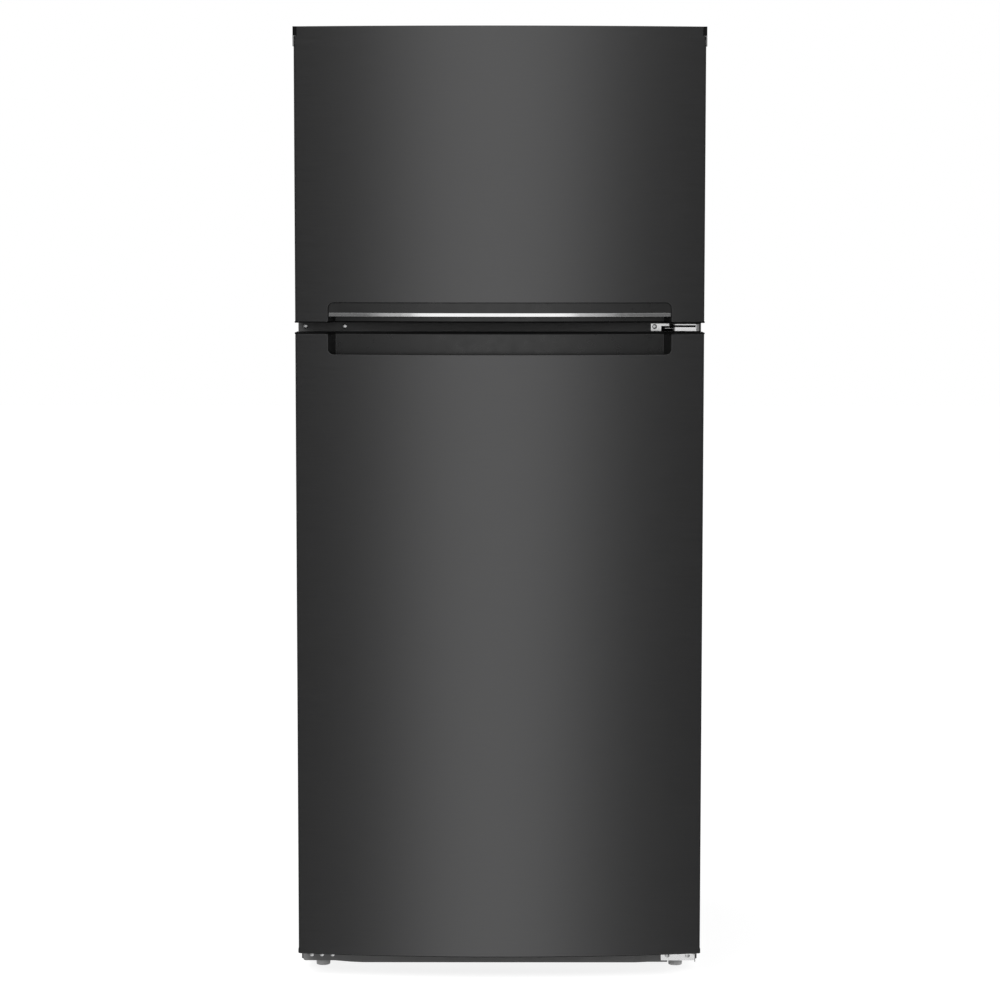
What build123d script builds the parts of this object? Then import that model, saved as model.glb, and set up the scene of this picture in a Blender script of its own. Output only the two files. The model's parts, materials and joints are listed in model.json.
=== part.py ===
from build123d import *
from math import sqrt
import os

# Driving dimensions, in millimetres. Front faces -Y, +X is the hinge side, the floor is Z = 0.

# Cabinet
CABINET_WIDTH = 705
CABINET_DEPTH = 600
REAR_SPACE = 28  # room for the condenser behind the back panel
SHEET = 1.0  # cabinet and door sheet steel
LINER = 2.0  # plastic liner wall
FREEZER_WALL = 56  # foam beside and above the freezer
FRIDGE_WALL = 48  # foam beside the fridge
BACK_WALL = 52  # foam behind both compartments
MULLION_FOAM = 73  # foam between the compartments
FLOOR_FOAM = 46
STEP_FOAM = 40  # foam round the machine room
FLANGE = 40  # front return of the shell, which the gaskets seal on
SKIRT_FLANGE = 4  # the same return below the door
SHELL_BOTTOM = 20
DECK = 2.0  # base deck sheet
RAIL_DROP = 4  # lower front rail below the fridge floor
MULLION_SHEET = 1.2  # cover strip between the doors
MULLION_LAP = 2  # how far that strip reaches behind each door
MULLION_INSET = 0.5
GRILLE = 3  # panel under the fridge door
GRILLE_INSET = 2.7  # its ends from the cabinet sides
GRILLE_END_BOTTOM = 17  # its lower edge at the left end
GRILLE_BOTTOM = 14.5  # the same everywhere else
GRILLE_RAMP = (58, 88)  # where its lower edge drops, from the cabinet's left side
GRILLE_CORNER = 4
BULGE = 4  # how far its middle stands out
BULGE_SLOPE = 22  # slanted ends of the bulge
BULGE_DROP = 2  # bulge below the panel's upper edge

# Doors
DOOR_OVERHANG = 1.5  # how far a door stands out past each cabinet side
DOOR_EDGE_DEPTH = 51  # door thickness at its side edges
BOW = 29  # how far the front bulges in front of the side edges
DOOR_CORNER = 4
SEAL_GAP = 12  # from door back to cabinet front
DOOR_LIFT = 5  # fridge door's lower end above the base deck
FRIDGE_DOOR_HEIGHT = 1094.5
DOOR_GAP = 17
FREEZER_DOOR_HEIGHT = 507.5
LIP_RISE = 16  # freezer door's front lip above the cabinet top
LIP_INSET = 5  # ends of that lip from the door sides
CAP = 2.5  # flange of a door end cap
BOTTOM_CAP = 0.8  # flange of the lowest end cap
BOTTOM_BEAD = 7  # height of its bead
CAP_PLUG = 4  # part of a cap inside the skin
BEAD = 0.9  # rounded bead of a cap past the door sides
BEAD_ROUND = 0.4
BEAD_DEPTH = 18
BEAD_ROOT = 2
EAR_PROUD = 1.5  # ears of the top cap past the door sides
EAR_HEIGHT = 34
EAR_DEPTH = 3
EAR_TIE = 2  # sheet that holds an ear to the rim
EAR_TIE_LAP = 4
RIM = 3  # wall of the top cap behind the lip
BOND = 0.2  # glue line between curved skins
FIT = 0.2  # clearance between fixed pieces
RUN = 0.3  # clearance between pieces that move past each other

# Inner side of the doors
DIKE_GAP = 10  # from dike to compartment wall
DIKE_END_GAP = 12  # from dike to compartment floor or ceiling
SWITCH_GAP = 34  # from the fridge dike to the ceiling, where the lamp switch is
DIKE_WIDTH = 34
DIKE_DEPTH = 44
GASKET_INSET = 18  # from door side to gasket
GASKET_WIDTH = 24
GASKET_BULB = 14
GASKET_BASE = 4
SEAL_LAND = 5  # from door end to the gasket beside the mullion
LOW_SEAL_LAND = 15  # the same at the fridge door's lower end
BIN_DEPTH = 100
BIN_WALL = 3
BIN_CORNER = 14
BIN_HEIGHT = 92
FREEZER_BIN_HEIGHT = 78
BIN_LUG = 8
BIN_LUG_SETBACK = 6
FREEZER_BIN_COUNT = 2
FREEZER_BIN_MARGINS = (50, 20)  # free height below the lowest and above the highest bin
FRIDGE_BIN_COUNT = 3
FRIDGE_BIN_MARGINS = (60, 30)

# Pocket handles
RECESS_INSET = 57  # recess ends from the door sides
FREEZER_RECESS = 36  # recess top above the freezer door's lower end
FRIDGE_RECESS = 37.5  # recess bottom below the fridge door's upper end
RECESS_CORNER = 10
POCKET_DEPTH = 30
POCKET_WALL = 2.5
SLANT = 12  # how far a pocket's ends lean in over its depth
LIP_DEPTH = 8  # back of the freezer door's pull lip
LIP_CLEAR = 12.5  # mouth of the pocket below that lip
UNDERCUT = 18  # finger room below the fridge door's recess
GROOVE = 2
GROOVE_DEPTH = 3.5  # groove behind the skin, round the pull lip
TRIM_HEIGHT = 5
TRIM_LEAF = 0.8

# Hinges and screws
HINGE_INSET = 14  # axis to door side
HINGE_DEPTH = 25  # axis behind the door's side edge
PIN_RADIUS = 4
PIN_CLEAR = 0.05
PIN_SHORT = 1  # pin end inside its bush
BUSH_WALL = 2
BUSH_LENGTH = 14
BOSS_WALL = 3
BOSS_END = 2
HINGE_PLATE = 3
NECK_HALF = 7
NECK_TIP = 8  # round end of the neck, about the axis
NECK_CLEAR = 2  # neck above the cabinet top
TOP_PAD_INNER = 42  # pad from the axis inwards
TOP_PAD_OUTER = 7
TOP_PAD_FRONT = 6  # pad behind the cabinet front
TOP_PAD_LENGTH = 86
TOP_SCREW_PLACES = [(30, 30), (30, 75), (4, 52)]  # in from the axis and behind the cabinet front
HINGE_COVER_WALL = 2
HINGE_COVER_MARGIN = 6  # cover past the pad
HINGE_COVER_INSET = 2  # cover from the cabinet side
HINGE_COVER_FRONT = 1
HINGE_COVER_DROP = 2  # cover top below the door's lip
HINGE_COVER_CORNER = 6
HINGE_COVER_ROUND = 3
CENTRE_PLATE = 2.5
CENTRE_PLATE_LEFT = 6.4  # plate past its screw
CENTRE_PLATE_RIGHT = 11.6
CENTRE_PLATE_RISE = 5.2  # plate above the gap's middle
CENTRE_PLATE_DROP = 7.8  # plate below it
CENTRE_PLATE_STEP = 1.1  # plate's narrow part from here up, above the gap's middle
CENTRE_PLATE_TONGUE = 14  # length of that part
LINK_LAP = 7  # link below the narrow part's end, from there to the arm
LINK_RISE = 0.3  # its upper edge above the gap's middle
LINK_DROP = 3.2  # its lower edge below the gap's middle
ARM_HALF_HEIGHT = 6
ARM_INNER = 38  # arm from the axis inwards
ARM_OUTER = 5.5
ARM_FRONT = 10  # arm in front of the axis
ARM_OUTER_CORNER = 5
ARM_INNER_CORNER = 3
ARM_SLOT = (0.6, 4.2)  # slot's lower and upper side above the gap's middle
ARM_SLOT_BACK = 6
LEAF_CLEAR = 3.5  # bottom hinge below the fridge door
LEAF_INNER = 26
LEAF_FRONT = 8
LEAF_CORNER = 6
BOTTOM_PLATE_INNER = 52
BOTTOM_PLATE_BOTTOM = 18
BOTTOM_PLATE_NOTCH = 12  # from the plate's inner end to the panel's notch below it
SCREW_RADIUS = 2
SCREW_HEAD = 4.2
SCREW_HEAD_HEIGHT = 2.2
SCREW_CLEAR = 0.1
MULLION_SCREW_INSET = 81.6
PLUG_INSET = 12.5  # plug screw at the free side, for doors hung the other way
GRILLE_SCREW_INSETS = (18, 36, 55)  # plug screws where the hinge goes on doors hung the other way
GRILLE_SCREW_Z = 29
BOTTOM_SCREW_INSETS = (53, 17)
BOTTOM_SCREW_Z = 27

# Inside the freezer
WIRE_RADIUS = 2
WIRE_GAP = 30
WIRE_RISE = 2.5  # long wires above the cross wires
WIRE_END = 6  # wires past the last crossing
SHELF_RAIL = 4  # front rail of the wire shelf
SHELF_RAIL_RISE = 8
EVAPORATOR_SPACE = 75
COVER_SHEET = 2.5
FAN_DROP = 95  # fan axis below the ceiling
FAN_RADIUS = 46
FAN_MOUTH = 6  # opening past the fan
FAN_BLADES = 5
FAN_HUB = 13
FAN_PITCH = 32
FAN_CHORD = 20
BLADE = 1.5
BLADE_ROOT = 9
HUB_LENGTH = 16
FAN_COVER_GAP = 3
FAN_MOTOR_GAP = 6
MOTOR_RADIUS = 26
MOTOR_LENGTH = 30
STRAP_REACH = 18  # motor strap past the fan
STRAP_SHEET = 3
STRAP_LEG = 4
STRAP_HALF_HEIGHT = 5
SHAFT_RADIUS = 3
RETURN_SLOTS = 9  # air slots near the floor
RETURN_PITCH = 50
RETURN_HALF = 18
RETURN_HEIGHT = 10
RETURN_RISE = 14
LOUVRES = 4  # air slots beside the fan
LOUVRE_X = 130
LOUVRE_HALF = 40
LOUVRE_HEIGHT = 6
LOUVRE_PITCH = 20
KNOB_RADIUS = 18
KNOB_HEIGHT = 16
KNOB_GRIP = 5  # grip above the dial
KNOB_GRIP_HALF = 3
KNOB_ROUND = 2
KNOB_SHAFT = 10  # shaft behind the panel's front
FREEZER_KNOB_INSET = 90
FREEZER_KNOB_DROP = 50
EVAPORATOR_INSET = 63.5  # end plates from the compartment's sides
EVAPORATOR_RISE = 34
EVAPORATOR_ROWS = 6
ROW_PITCH = 30
EVAPORATOR_SETBACK = 32  # tubes in front of the back wall
EVAPORATOR_TUBE = 4
TUBE_REACH = 25  # tube bends past the end plates
FINS = 21
FIN = 1
FIN_DEPTH = 48
END_PLATE = 2
END_PLATE_MARGIN = 6
HEATER_DROP = 16  # heater below the fins
HEATER_REACH = 14

# Inside the fridge
SHELF_SETBACK = 118  # shelf fronts behind the cabinet front
SHELF_HEIGHT = 14
SHELF_BORDER = 20
SHELF_ROUND = 4
GLASS = 4
GLASS_LAP = 10  # glass over the border
RIB = 10
RIB_HEIGHT = 6
SHELF_PLAY = 1.5
CRISPER_SETBACK = 103
CRISPER_WALL = 3
CRISPER_GAP = 8  # between the two drawers
CRISPER_SIDE_PLAY = 2
CRISPER_BACK_PLAY = 6
CRISPER_TOP_PLAY = 2
RUNNER = 4
RUNNER_HALF = 4
RUNNER_INSET = 30
PULL_HALF = 70
PULL_DEPTH = 10
PULL_SHEET = 4
PULL_DROP = 30
PULL_CORNER = 5
CONTROL_SETBACK = 40  # control box behind the shelf fronts
CONTROL_HEIGHT = 44
CONTROL_HALF = 170
CONTROL_DEPTH = 180
CONTROL_WALL = 2.5
CONTROL_ROUND = 6
FRIDGE_KNOB_INSET = 60
LENS_LEFT = -130
LENS_RIGHT = 20
LENS_FRONT = 20
LENS_BACK = 30
LENS_FLANGE = 4
LENS_SHEET = 2
SWITCH_INSET = 15
SWITCH_DROP = 12
SWITCH_SIDE = 6
SWITCH_BOSS_HALF = 12
SWITCH_BOSS_SETBACK = 16
SWITCH_BOSS_LENGTH = 40
SWITCH_TAIL = 6  # plunger behind its boss

# Feet, rollers and machinery
FOOT_INSET = 36
FOOT_SETBACK = 41
FOOT_RADIUS = 13
FOOT_TAPER = 0.8
FOOT_HEIGHT = 12
FOOT_NUT_RISE = 12  # threaded boss of the deck above the foot
STEM_RADIUS = 4
ROLLER_RADIUS = 16
ROLLER_WIDTH = 18
ROLLER_CLEAR = 6  # below the deck
ROLLER_ROUND = 2
ROLLER_INSET = 52
ROLLER_SETBACK = 45
AXLE_RADIUS = 3
AXLE_CLEAR = 0.06
AXLE_END = 1
EAR_SHEET = 2  # deck ears that hold an axle
EAR_HALF = 12
EAR_BOTTOM = 8
GLAND_INSET = 82
GLAND_RISE = 16
GLAND_RADIUS = 8
GLAND_BORE = 4.5
GLAND_COLLAR = 3
GLAND_COLLAR_LENGTH = 4
GLAND_STRAP_HALF = 40
MACHINE_DEPTH = 200
MACHINE_CLEAR = 20  # above the drain pan
COMPRESSOR_RADIUS = 72
COMPRESSOR_HEIGHT = 146
COMPRESSOR_DOME = 40
SEAM_PROUD = 5
SEAM_HALF = 3
BASE_SHEET = 3
BASE_MARGIN = 15  # base plate past its mounts
BASE_CORNER = 12
MOUNT_X = 88
MOUNT_Y = 58
MOUNT_HEIGHT = 15
MOUNT_RADIUS = 11
MOUNT_ROUND = 2
RELAY_PROUD = 24
RELAY_ROOT = 30
RELAY_HALF = 26
RELAY_RISE = 24
RELAY_ROUND = 5
STUB_RISE = 46
STUB_LENGTH = 34
STUB_RADIUS = 5
PAN_CLEAR = 18  # pan from the machine room's front and back
PAN_HALF_WIDTH = 110
PAN_HEIGHT = 34
PAN_WALL = 2.5
PAN_CORNER = 20
COIL_RADIUS = 2.5
COIL_PITCH = 60
COIL_INSET = 92.5
COIL_RISE = 70  # lowest run above the machine room
COIL_TOP_MARGIN = 130
COIL_BEND = 29
COIL_END_BEND = 10
COIL_LEAD = 64  # feed tube from the compressor's stub to the first bend
COIL_LEAD_RISE = 46  # end of that tube above the stub
RAIL_BAR = 8
RAIL_SHEET = 2
RAIL_BITE = 0.5  # how deep the rails hold the tube
RAIL_INSET = 40
RAIL_REACH = 20

# Cutters run past the faces they open by this much
PAST = 1

# Places worked out from the driving dimensions
DEPTH = BOW + DOOR_EDGE_DEPTH + SEAL_GAP + CABINET_DEPTH + REAR_SPACE
Y_BOW = -DEPTH / 2
Y_EDGE = Y_BOW + BOW
Y_DOOR = Y_EDGE + DOOR_EDGE_DEPTH
Y_FRONT = Y_DOOR + SEAL_GAP
Y_BACK = Y_FRONT + CABINET_DEPTH
Y_REAR = DEPTH / 2
CABINET_HALF = CABINET_WIDTH / 2
INSIDE_HALF = CABINET_HALF - SHEET
DOOR_HALF = CABINET_HALF + DOOR_OVERHANG
BOW_RADIUS = (DOOR_HALF**2 + BOW**2) / (2 * BOW)

DECK_BOTTOM = 2 * ROLLER_RADIUS + ROLLER_CLEAR
DECK_TOP = DECK_BOTTOM + DECK
FRIDGE_DOOR_BOTTOM = DECK_TOP + DOOR_LIFT
FRIDGE_DOOR_TOP = FRIDGE_DOOR_BOTTOM + FRIDGE_DOOR_HEIGHT
FREEZER_DOOR_BOTTOM = FRIDGE_DOOR_TOP + DOOR_GAP
FREEZER_DOOR_TOP = FREEZER_DOOR_BOTTOM + FREEZER_DOOR_HEIGHT
CABINET_TOP = FREEZER_DOOR_TOP - LIP_RISE
MULLION_Z = FRIDGE_DOOR_TOP + DOOR_GAP / 2
RAIL_TOP = MULLION_Z + MULLION_FOAM / 2 - FIT
RAIL_BOTTOM = MULLION_Z - MULLION_FOAM / 2 + FIT

MOUNT_TOP = DECK_TOP + MOUNT_HEIGHT
COMPRESSOR_TOP = MOUNT_TOP + COMPRESSOR_HEIGHT
PAN_TOP = COMPRESSOR_TOP + PAN_HEIGHT
MACHINE_FRONT = Y_BACK - MACHINE_DEPTH
MACHINE_TOP = PAN_TOP + MACHINE_CLEAR

FREEZER_HALF = INSIDE_HALF - FREEZER_WALL - LINER
FREEZER_FLOOR = MULLION_Z + MULLION_FOAM / 2 + LINER
FREEZER_CEILING = CABINET_TOP - SHEET - FREEZER_WALL - LINER
FRIDGE_HALF = INSIDE_HALF - FRIDGE_WALL - LINER
FRIDGE_CEILING = MULLION_Z - MULLION_FOAM / 2 - LINER
FRIDGE_FLOOR = DECK_TOP + FLOOR_FOAM + LINER
CAVITY_BACK = Y_BACK - SHEET - BACK_WALL - LINER
STEP_FRONT = MACHINE_FRONT - SHEET - STEP_FOAM - LINER
STEP_TOP = MACHINE_TOP + SHEET + STEP_FOAM + LINER
FLANGE_INNER = CABINET_HALF - FLANGE
BOTTOM_RAIL_TOP = FRIDGE_FLOOR - RAIL_DROP
EVAPORATOR_FRONT = CAVITY_BACK - EVAPORATOR_SPACE

SKIN_BACK = SHEET + BOND  # depth at which pieces behind a door skin begin
DOOR_LINER_FRONT = Y_DOOR - LINER
LIP_HALF = DOOR_HALF - LIP_INSET
RECESS_HALF = DOOR_HALF - RECESS_INSET
FREEZER_RECESS_TOP = FREEZER_DOOR_BOTTOM + FREEZER_RECESS
FREEZER_LIP_BOTTOM = FREEZER_DOOR_BOTTOM + LIP_CLEAR
FRIDGE_RECESS_BOTTOM = FRIDGE_DOOR_TOP - FRIDGE_RECESS
FRIDGE_POCKET_BOTTOM = FRIDGE_RECESS_BOTTOM - UNDERCUT
FREEZER_CAP_BOTTOM = CABINET_TOP - CAP
FREEZER_CORE_BOTTOM = FREEZER_DOOR_BOTTOM + CAP + CAP_PLUG
FRIDGE_CORE_BOTTOM = FRIDGE_DOOR_BOTTOM + BOTTOM_CAP + CAP_PLUG
FRIDGE_CORE_TOP = FRIDGE_DOOR_TOP - CAP - CAP_PLUG
# Half width, lower end and upper end of the raised frames inside the doors
FREEZER_DIKE = (FREEZER_HALF - DIKE_GAP, FREEZER_FLOOR + DIKE_END_GAP, FREEZER_CEILING - DIKE_END_GAP)
FRIDGE_DIKE = (FRIDGE_HALF - DIKE_GAP, FRIDGE_FLOOR + DIKE_END_GAP, FRIDGE_CEILING - SWITCH_GAP)

HINGE_X = DOOR_HALF - HINGE_INSET
HINGE_Y = Y_EDGE + HINGE_DEPTH
BUSH_RADIUS = PIN_RADIUS + BUSH_WALL
BOSS_RADIUS = BUSH_RADIUS + BOSS_WALL
BOSS_LENGTH = BUSH_LENGTH + BOSS_END
NECK_BOTTOM = CABINET_TOP + NECK_CLEAR
TOP_PAD = NECK_BOTTOM + HINGE_PLATE
ARM_TOP = MULLION_Z + ARM_HALF_HEIGHT
ARM_BOTTOM = MULLION_Z - ARM_HALF_HEIGHT
ARM_LEFT = HINGE_X - ARM_INNER
ARM_RIGHT = HINGE_X + ARM_OUTER
LEAF_TOP = FRIDGE_DOOR_BOTTOM - LEAF_CLEAR
LEAF_BOTTOM = LEAF_TOP - HINGE_PLATE
MULLION_FACE = Y_FRONT - MULLION_SHEET
CENTRE_PLATE_FACE = MULLION_FACE - CENTRE_PLATE
GRILLE_FACE = Y_FRONT - GRILLE
BOTTOM_PLATE_FACE = GRILLE_FACE - HINGE_PLATE
BOTTOM_PLATE_LEFT = HINGE_X - BOTTOM_PLATE_INNER
MULLION_SCREW_X = CABINET_HALF - MULLION_SCREW_INSET

SHELF_FRONT = Y_FRONT + SHELF_SETBACK
SHELF_BACK = CAVITY_BACK - SHELF_PLAY
SHELF_HALF = FRIDGE_HALF - SHELF_PLAY
COVER_BOTTOM = STEP_TOP
COVER_TOP = COVER_BOTTOM + SHELF_HEIGHT
SHELF_STEP = (FRIDGE_CEILING - COVER_TOP) / 3
SHELF_TOPS = [COVER_TOP + SHELF_STEP, COVER_TOP + 2 * SHELF_STEP]
FREEZER_SHELF_Z = (FREEZER_FLOOR + FREEZER_CEILING) / 2
FREEZER_SHELF_BACK = EVAPORATOR_FRONT - SHELF_PLAY
CRISPER_FRONT = Y_FRONT + CRISPER_SETBACK
CRISPER_BACK = STEP_FRONT - CRISPER_BACK_PLAY
CRISPER_INNER = CRISPER_GAP / 2
CRISPER_OUTER = FRIDGE_HALF - RIB - CRISPER_SIDE_PLAY
CRISPER_BOTTOM = FRIDGE_FLOOR + RUNNER + RUN
CRISPER_TOP = COVER_BOTTOM - RIB_HEIGHT - CRISPER_TOP_PLAY
CONTROL_FRONT = SHELF_FRONT + CONTROL_SETBACK
CONTROL_BACK = CONTROL_FRONT + CONTROL_DEPTH
CONTROL_BOTTOM = FRIDGE_CEILING - CONTROL_HEIGHT
FRIDGE_KNOB = (CONTROL_HALF - FRIDGE_KNOB_INSET, FRIDGE_CEILING - CONTROL_HEIGHT / 2)
LENS = (LENS_LEFT, LENS_RIGHT, CONTROL_FRONT + LENS_FRONT, CONTROL_BACK - LENS_BACK)
SWITCH_X = FRIDGE_HALF - SWITCH_INSET
SWITCH_Z = FRIDGE_CEILING - SWITCH_DROP
SWITCH_BOSS_FRONT = Y_FRONT + SWITCH_BOSS_SETBACK
SWITCH_BOSS_BACK = SWITCH_BOSS_FRONT + SWITCH_BOSS_LENGTH

FAN_Z = FREEZER_CEILING - FAN_DROP
FAN_FRONT = EVAPORATOR_FRONT + COVER_SHEET + FAN_COVER_GAP
MOTOR_FRONT = FAN_FRONT + HUB_LENGTH + FAN_MOTOR_GAP
FREEZER_KNOB = (FREEZER_HALF - FREEZER_KNOB_INSET, FREEZER_CEILING - FREEZER_KNOB_DROP)
EVAPORATOR_HALF = FREEZER_HALF - EVAPORATOR_INSET
EVAPORATOR_BOTTOM = FREEZER_FLOOR + EVAPORATOR_RISE
EVAPORATOR_TOP = EVAPORATOR_BOTTOM + EVAPORATOR_ROWS * ROW_PITCH
EVAPORATOR_Y = CAVITY_BACK - EVAPORATOR_SETBACK
HEATER_Z = EVAPORATOR_BOTTOM - HEATER_DROP

FOOT_X = CABINET_HALF - FOOT_INSET
FOOT_Y = Y_FRONT + FOOT_SETBACK
FOOT_NUT = FOOT_HEIGHT + FOOT_NUT_RISE
ROLLER_X = CABINET_HALF - ROLLER_INSET
ROLLER_Y = Y_BACK - ROLLER_SETBACK
GLAND_X = -CABINET_HALF + GLAND_INSET
GLAND_Z = DECK_TOP + GLAND_RISE
GLAND_FRONT = Y_BACK - DECK - GLAND_COLLAR_LENGTH
GLAND_BACK = Y_BACK + GLAND_COLLAR_LENGTH
COIL_HALF = CABINET_HALF - COIL_INSET
STUB_END = COIL_HALF - COIL_LEAD
STUB_Z = MOUNT_TOP + STUB_RISE
COMPRESSOR_X = STUB_END - STUB_LENGTH - COMPRESSOR_RADIUS
COMPRESSOR_Y = Y_BACK - MACHINE_DEPTH / 2
COMPRESSOR_SEAM = MOUNT_TOP + COMPRESSOR_HEIGHT / 2
PAN_HALF_DEPTH = MACHINE_DEPTH / 2 - PAN_CLEAR
COIL_Y = Y_REAR - RAIL_SHEET - COIL_RADIUS + RAIL_BITE
COIL_START = STUB_Z + COIL_LEAD_RISE
COIL_BOTTOM = MACHINE_TOP + COIL_RISE
COIL_PASSES = int((CABINET_TOP - COIL_TOP_MARGIN - COIL_BOTTOM) / COIL_PITCH)
COIL_TOP = COIL_BOTTOM + (COIL_PASSES - 1) * COIL_PITCH


# Shape helpers
def block(x0, x1, y0, y1, z0, z1):
    """Box between two corners."""
    centre = Pos((x0 + x1) / 2, (y0 + y1) / 2, (z0 + z1) / 2)
    return centre * Box(x1 - x0, y1 - y0, z1 - z0)


def wide(half, y0, y1, z0, z1):
    """Box centred across the width."""
    return block(-half, half, y0, y1, z0, z1)


def rod_z(x, y, z0, z1, radius):
    return Pos(x, y, (z0 + z1) / 2) * Cylinder(radius, z1 - z0)


def rod_y(x, z, y0, y1, radius):
    return Pos(x, (y0 + y1) / 2, z) * Rot(90, 0, 0) * Cylinder(radius, y1 - y0)


def rod_x(y, z, x0, x1, radius):
    return Pos((x0 + x1) / 2, y, z) * Rot(0, 90, 0) * Cylinder(radius, x1 - x0)


def frame(half, z0, z1, width, y0, y1):
    """Upright rectangular frame, as deep as y0 to y1."""
    inner = wide(half - width, y0 - PAST, y1 + PAST, z0 + width, z1 - width)
    return wide(half, y0, y1, z0, z1) - inner


def tray(x0, x1, y0, y1, z0, z1, wall, corner):
    """Open box whose two upright corners at the back are rounded."""
    outer = block(x0, x1, y0, y1, z0, z1)
    outer = fillet(outer.edges().filter_by(Axis.Z).group_by(Axis.Y)[-1], corner)
    inner = block(x0 + wall, x1 - wall, y0 + wall, y1 - wall, z0 + wall, z1 + PAST)
    return outer - fillet(inner.edges().filter_by(Axis.Z).group_by(Axis.Y)[-1], corner - wall)


def tube(points, bends, radius):
    """Round tube along straight runs joined by bends."""
    path = FilletPolyline(*points, radius=bends)
    return sweep(Plane(origin=path @ 0, z_dir=path % 0) * Circle(radius), path=path)


def serpentine(half, y, z0, pitch, passes):
    """Corners of a tube that runs to and fro while it climbs."""
    points = []
    for i in range(passes):
        side = 1 if i % 2 == 0 else -1
        points.append((side * half, y, z0 + i * pitch))
        points.append((-side * half, y, z0 + i * pitch))
    return points


def mirrored(shape):
    """A shape and its copy on the other side."""
    return shape + mirror(shape, about=Plane.YZ)


def spaced(z0, z1, count):
    """Evenly spaced heights, the first at the bottom."""
    return [z0 + i * (z1 - z0) / count for i in range(count)]


# The bowed front
def bow_y(x, depth=0):
    """Y of the surface that lies this deep behind the bowed front."""
    return Y_BOW + BOW_RADIUS - sqrt((BOW_RADIUS - depth) ** 2 - x**2)


def raised(face, z0, z1):
    return Pos(0, 0, z0) * extrude(face, amount=z1 - z0, dir=(0, 0, 1))


def door_section(inset, back):
    """Plan of a door, drawn in from its outside by an even inset."""
    side = DOOR_HALF - inset
    front = bow_y(side, inset)
    outline = [
        ThreePointArc((-side, front), (0, bow_y(0, inset)), (side, front)),
        Line((side, front), (side, back)),
        Line((side, back), (-side, back)),
        Line((-side, back), (-side, front)),
    ]
    face = make_face(outline)
    return fillet(face.vertices().sort_by(Axis.Y)[:2], DOOR_CORNER - inset)


def bowed_block(depth0, depth1, half0, half1, z0, z1):
    """Block between two surfaces parallel to the bowed front, with straight ends."""
    front, back = bow_y(half0, depth0), bow_y(half1, depth1)
    outline = [
        ThreePointArc((-half0, front), (0, bow_y(0, depth0)), (half0, front)),
        Line((half0, front), (half1, back)),
        ThreePointArc((half1, back), (0, bow_y(0, depth1)), (-half1, back)),
        Line((-half1, back), (-half0, front)),
    ]
    return raised(make_face(outline), z0, z1)


def end_half(depth):
    """Half width of a handle pocket at a depth."""
    return RECESS_HALF - SLANT * depth / POCKET_DEPTH


def handle_block(depth0, grow, z0, z1):
    """Outer shape of a handle pocket, with room round it if grown."""
    depth1 = POCKET_DEPTH + POCKET_WALL + grow
    margin = POCKET_WALL + grow
    return bowed_block(depth0, depth1, end_half(depth0) + margin, end_half(depth1) + margin, z0, z1)


def handle_wall(depth1, z0, z1):
    """Wall across the front of a pocket, let into the pocket's ends."""
    lap = POCKET_WALL / 2
    return bowed_block(SKIN_BACK, depth1, end_half(SKIN_BACK) + lap, end_half(depth1) + lap, z0, z1)


def pocket(z0, z1):
    return bowed_block(-PAST, POCKET_DEPTH, end_half(-PAST), end_half(POCKET_DEPTH), z0, z1)


def recess_cutter(inset, z0, z1):
    """Rounded window in the front of a door."""
    window = RectangleRounded(2 * (RECESS_HALF - inset), z1 - z0, RECESS_CORNER - inset)
    return Pos(0, Y_EDGE, (z0 + z1) / 2) * Rot(90, 0, 0) * extrude(window, amount=BOW + PAST)


# Screws: place of the seat and length of the shank
def front_screws():
    mullion_grip = Y_FRONT - MULLION_FACE + SHEET
    screws = [
        (-MULLION_SCREW_X, MULLION_FACE, MULLION_Z, mullion_grip),
        (-CABINET_HALF + PLUG_INSET, MULLION_FACE, MULLION_Z, mullion_grip),
        (MULLION_SCREW_X, CENTRE_PLATE_FACE, MULLION_Z, mullion_grip + CENTRE_PLATE),
    ]
    screws += [(-CABINET_HALF + inset, GRILLE_FACE, GRILLE_SCREW_Z, GRILLE) for inset in GRILLE_SCREW_INSETS]
    face, z = BOTTOM_PLATE_FACE, BOTTOM_SCREW_Z
    screws += [(CABINET_HALF - inset, face, z, HINGE_PLATE) for inset in BOTTOM_SCREW_INSETS]
    return screws


def top_screws():
    return [(HINGE_X - inner, Y_FRONT + back) for inner, back in TOP_SCREW_PLACES]


def screw_shanks(radius):
    front = [rod_y(x, z, y, y + grip, radius) for x, y, z, grip in front_screws()]
    top = [rod_z(x, y, CABINET_TOP - SHEET, TOP_PAD, radius) for x, y in top_screws()]
    return front + top


def cabinet_screws():
    heads = [rod_y(x, z, y - SCREW_HEAD_HEIGHT, y, SCREW_HEAD) for x, y, z, grip in front_screws()]
    heads += [rod_z(x, y, TOP_PAD, TOP_PAD + SCREW_HEAD_HEIGHT, SCREW_HEAD) for x, y in top_screws()]
    screws = []
    for head, shank in zip(heads, screw_shanks(SCREW_RADIUS)):
        screws.append((head + shank).solid())
    return Compound(screws)


def drilled(shape):
    """A piece with the screw holes that fall in it."""
    return shape - screw_shanks(SCREW_RADIUS + SCREW_CLEAR)


# Cabinet
def cabinet_shell():
    low = SHELL_BOTTOM - PAST
    outer = wide(CABINET_HALF, Y_FRONT, Y_BACK, SHELL_BOTTOM, CABINET_TOP)
    inner = wide(INSIDE_HALF, Y_FRONT + SHEET, Y_BACK + PAST, low, CABINET_TOP - SHEET)
    front, back = Y_FRONT - PAST, Y_FRONT + SHEET + PAST
    opening = wide(FLANGE_INNER, front, back, low, CABINET_TOP - FLANGE)
    skirt = wide(CABINET_HALF - SKIRT_FLANGE, front, back, low, DECK_TOP)
    return drilled(outer - inner - opening - skirt)


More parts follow.
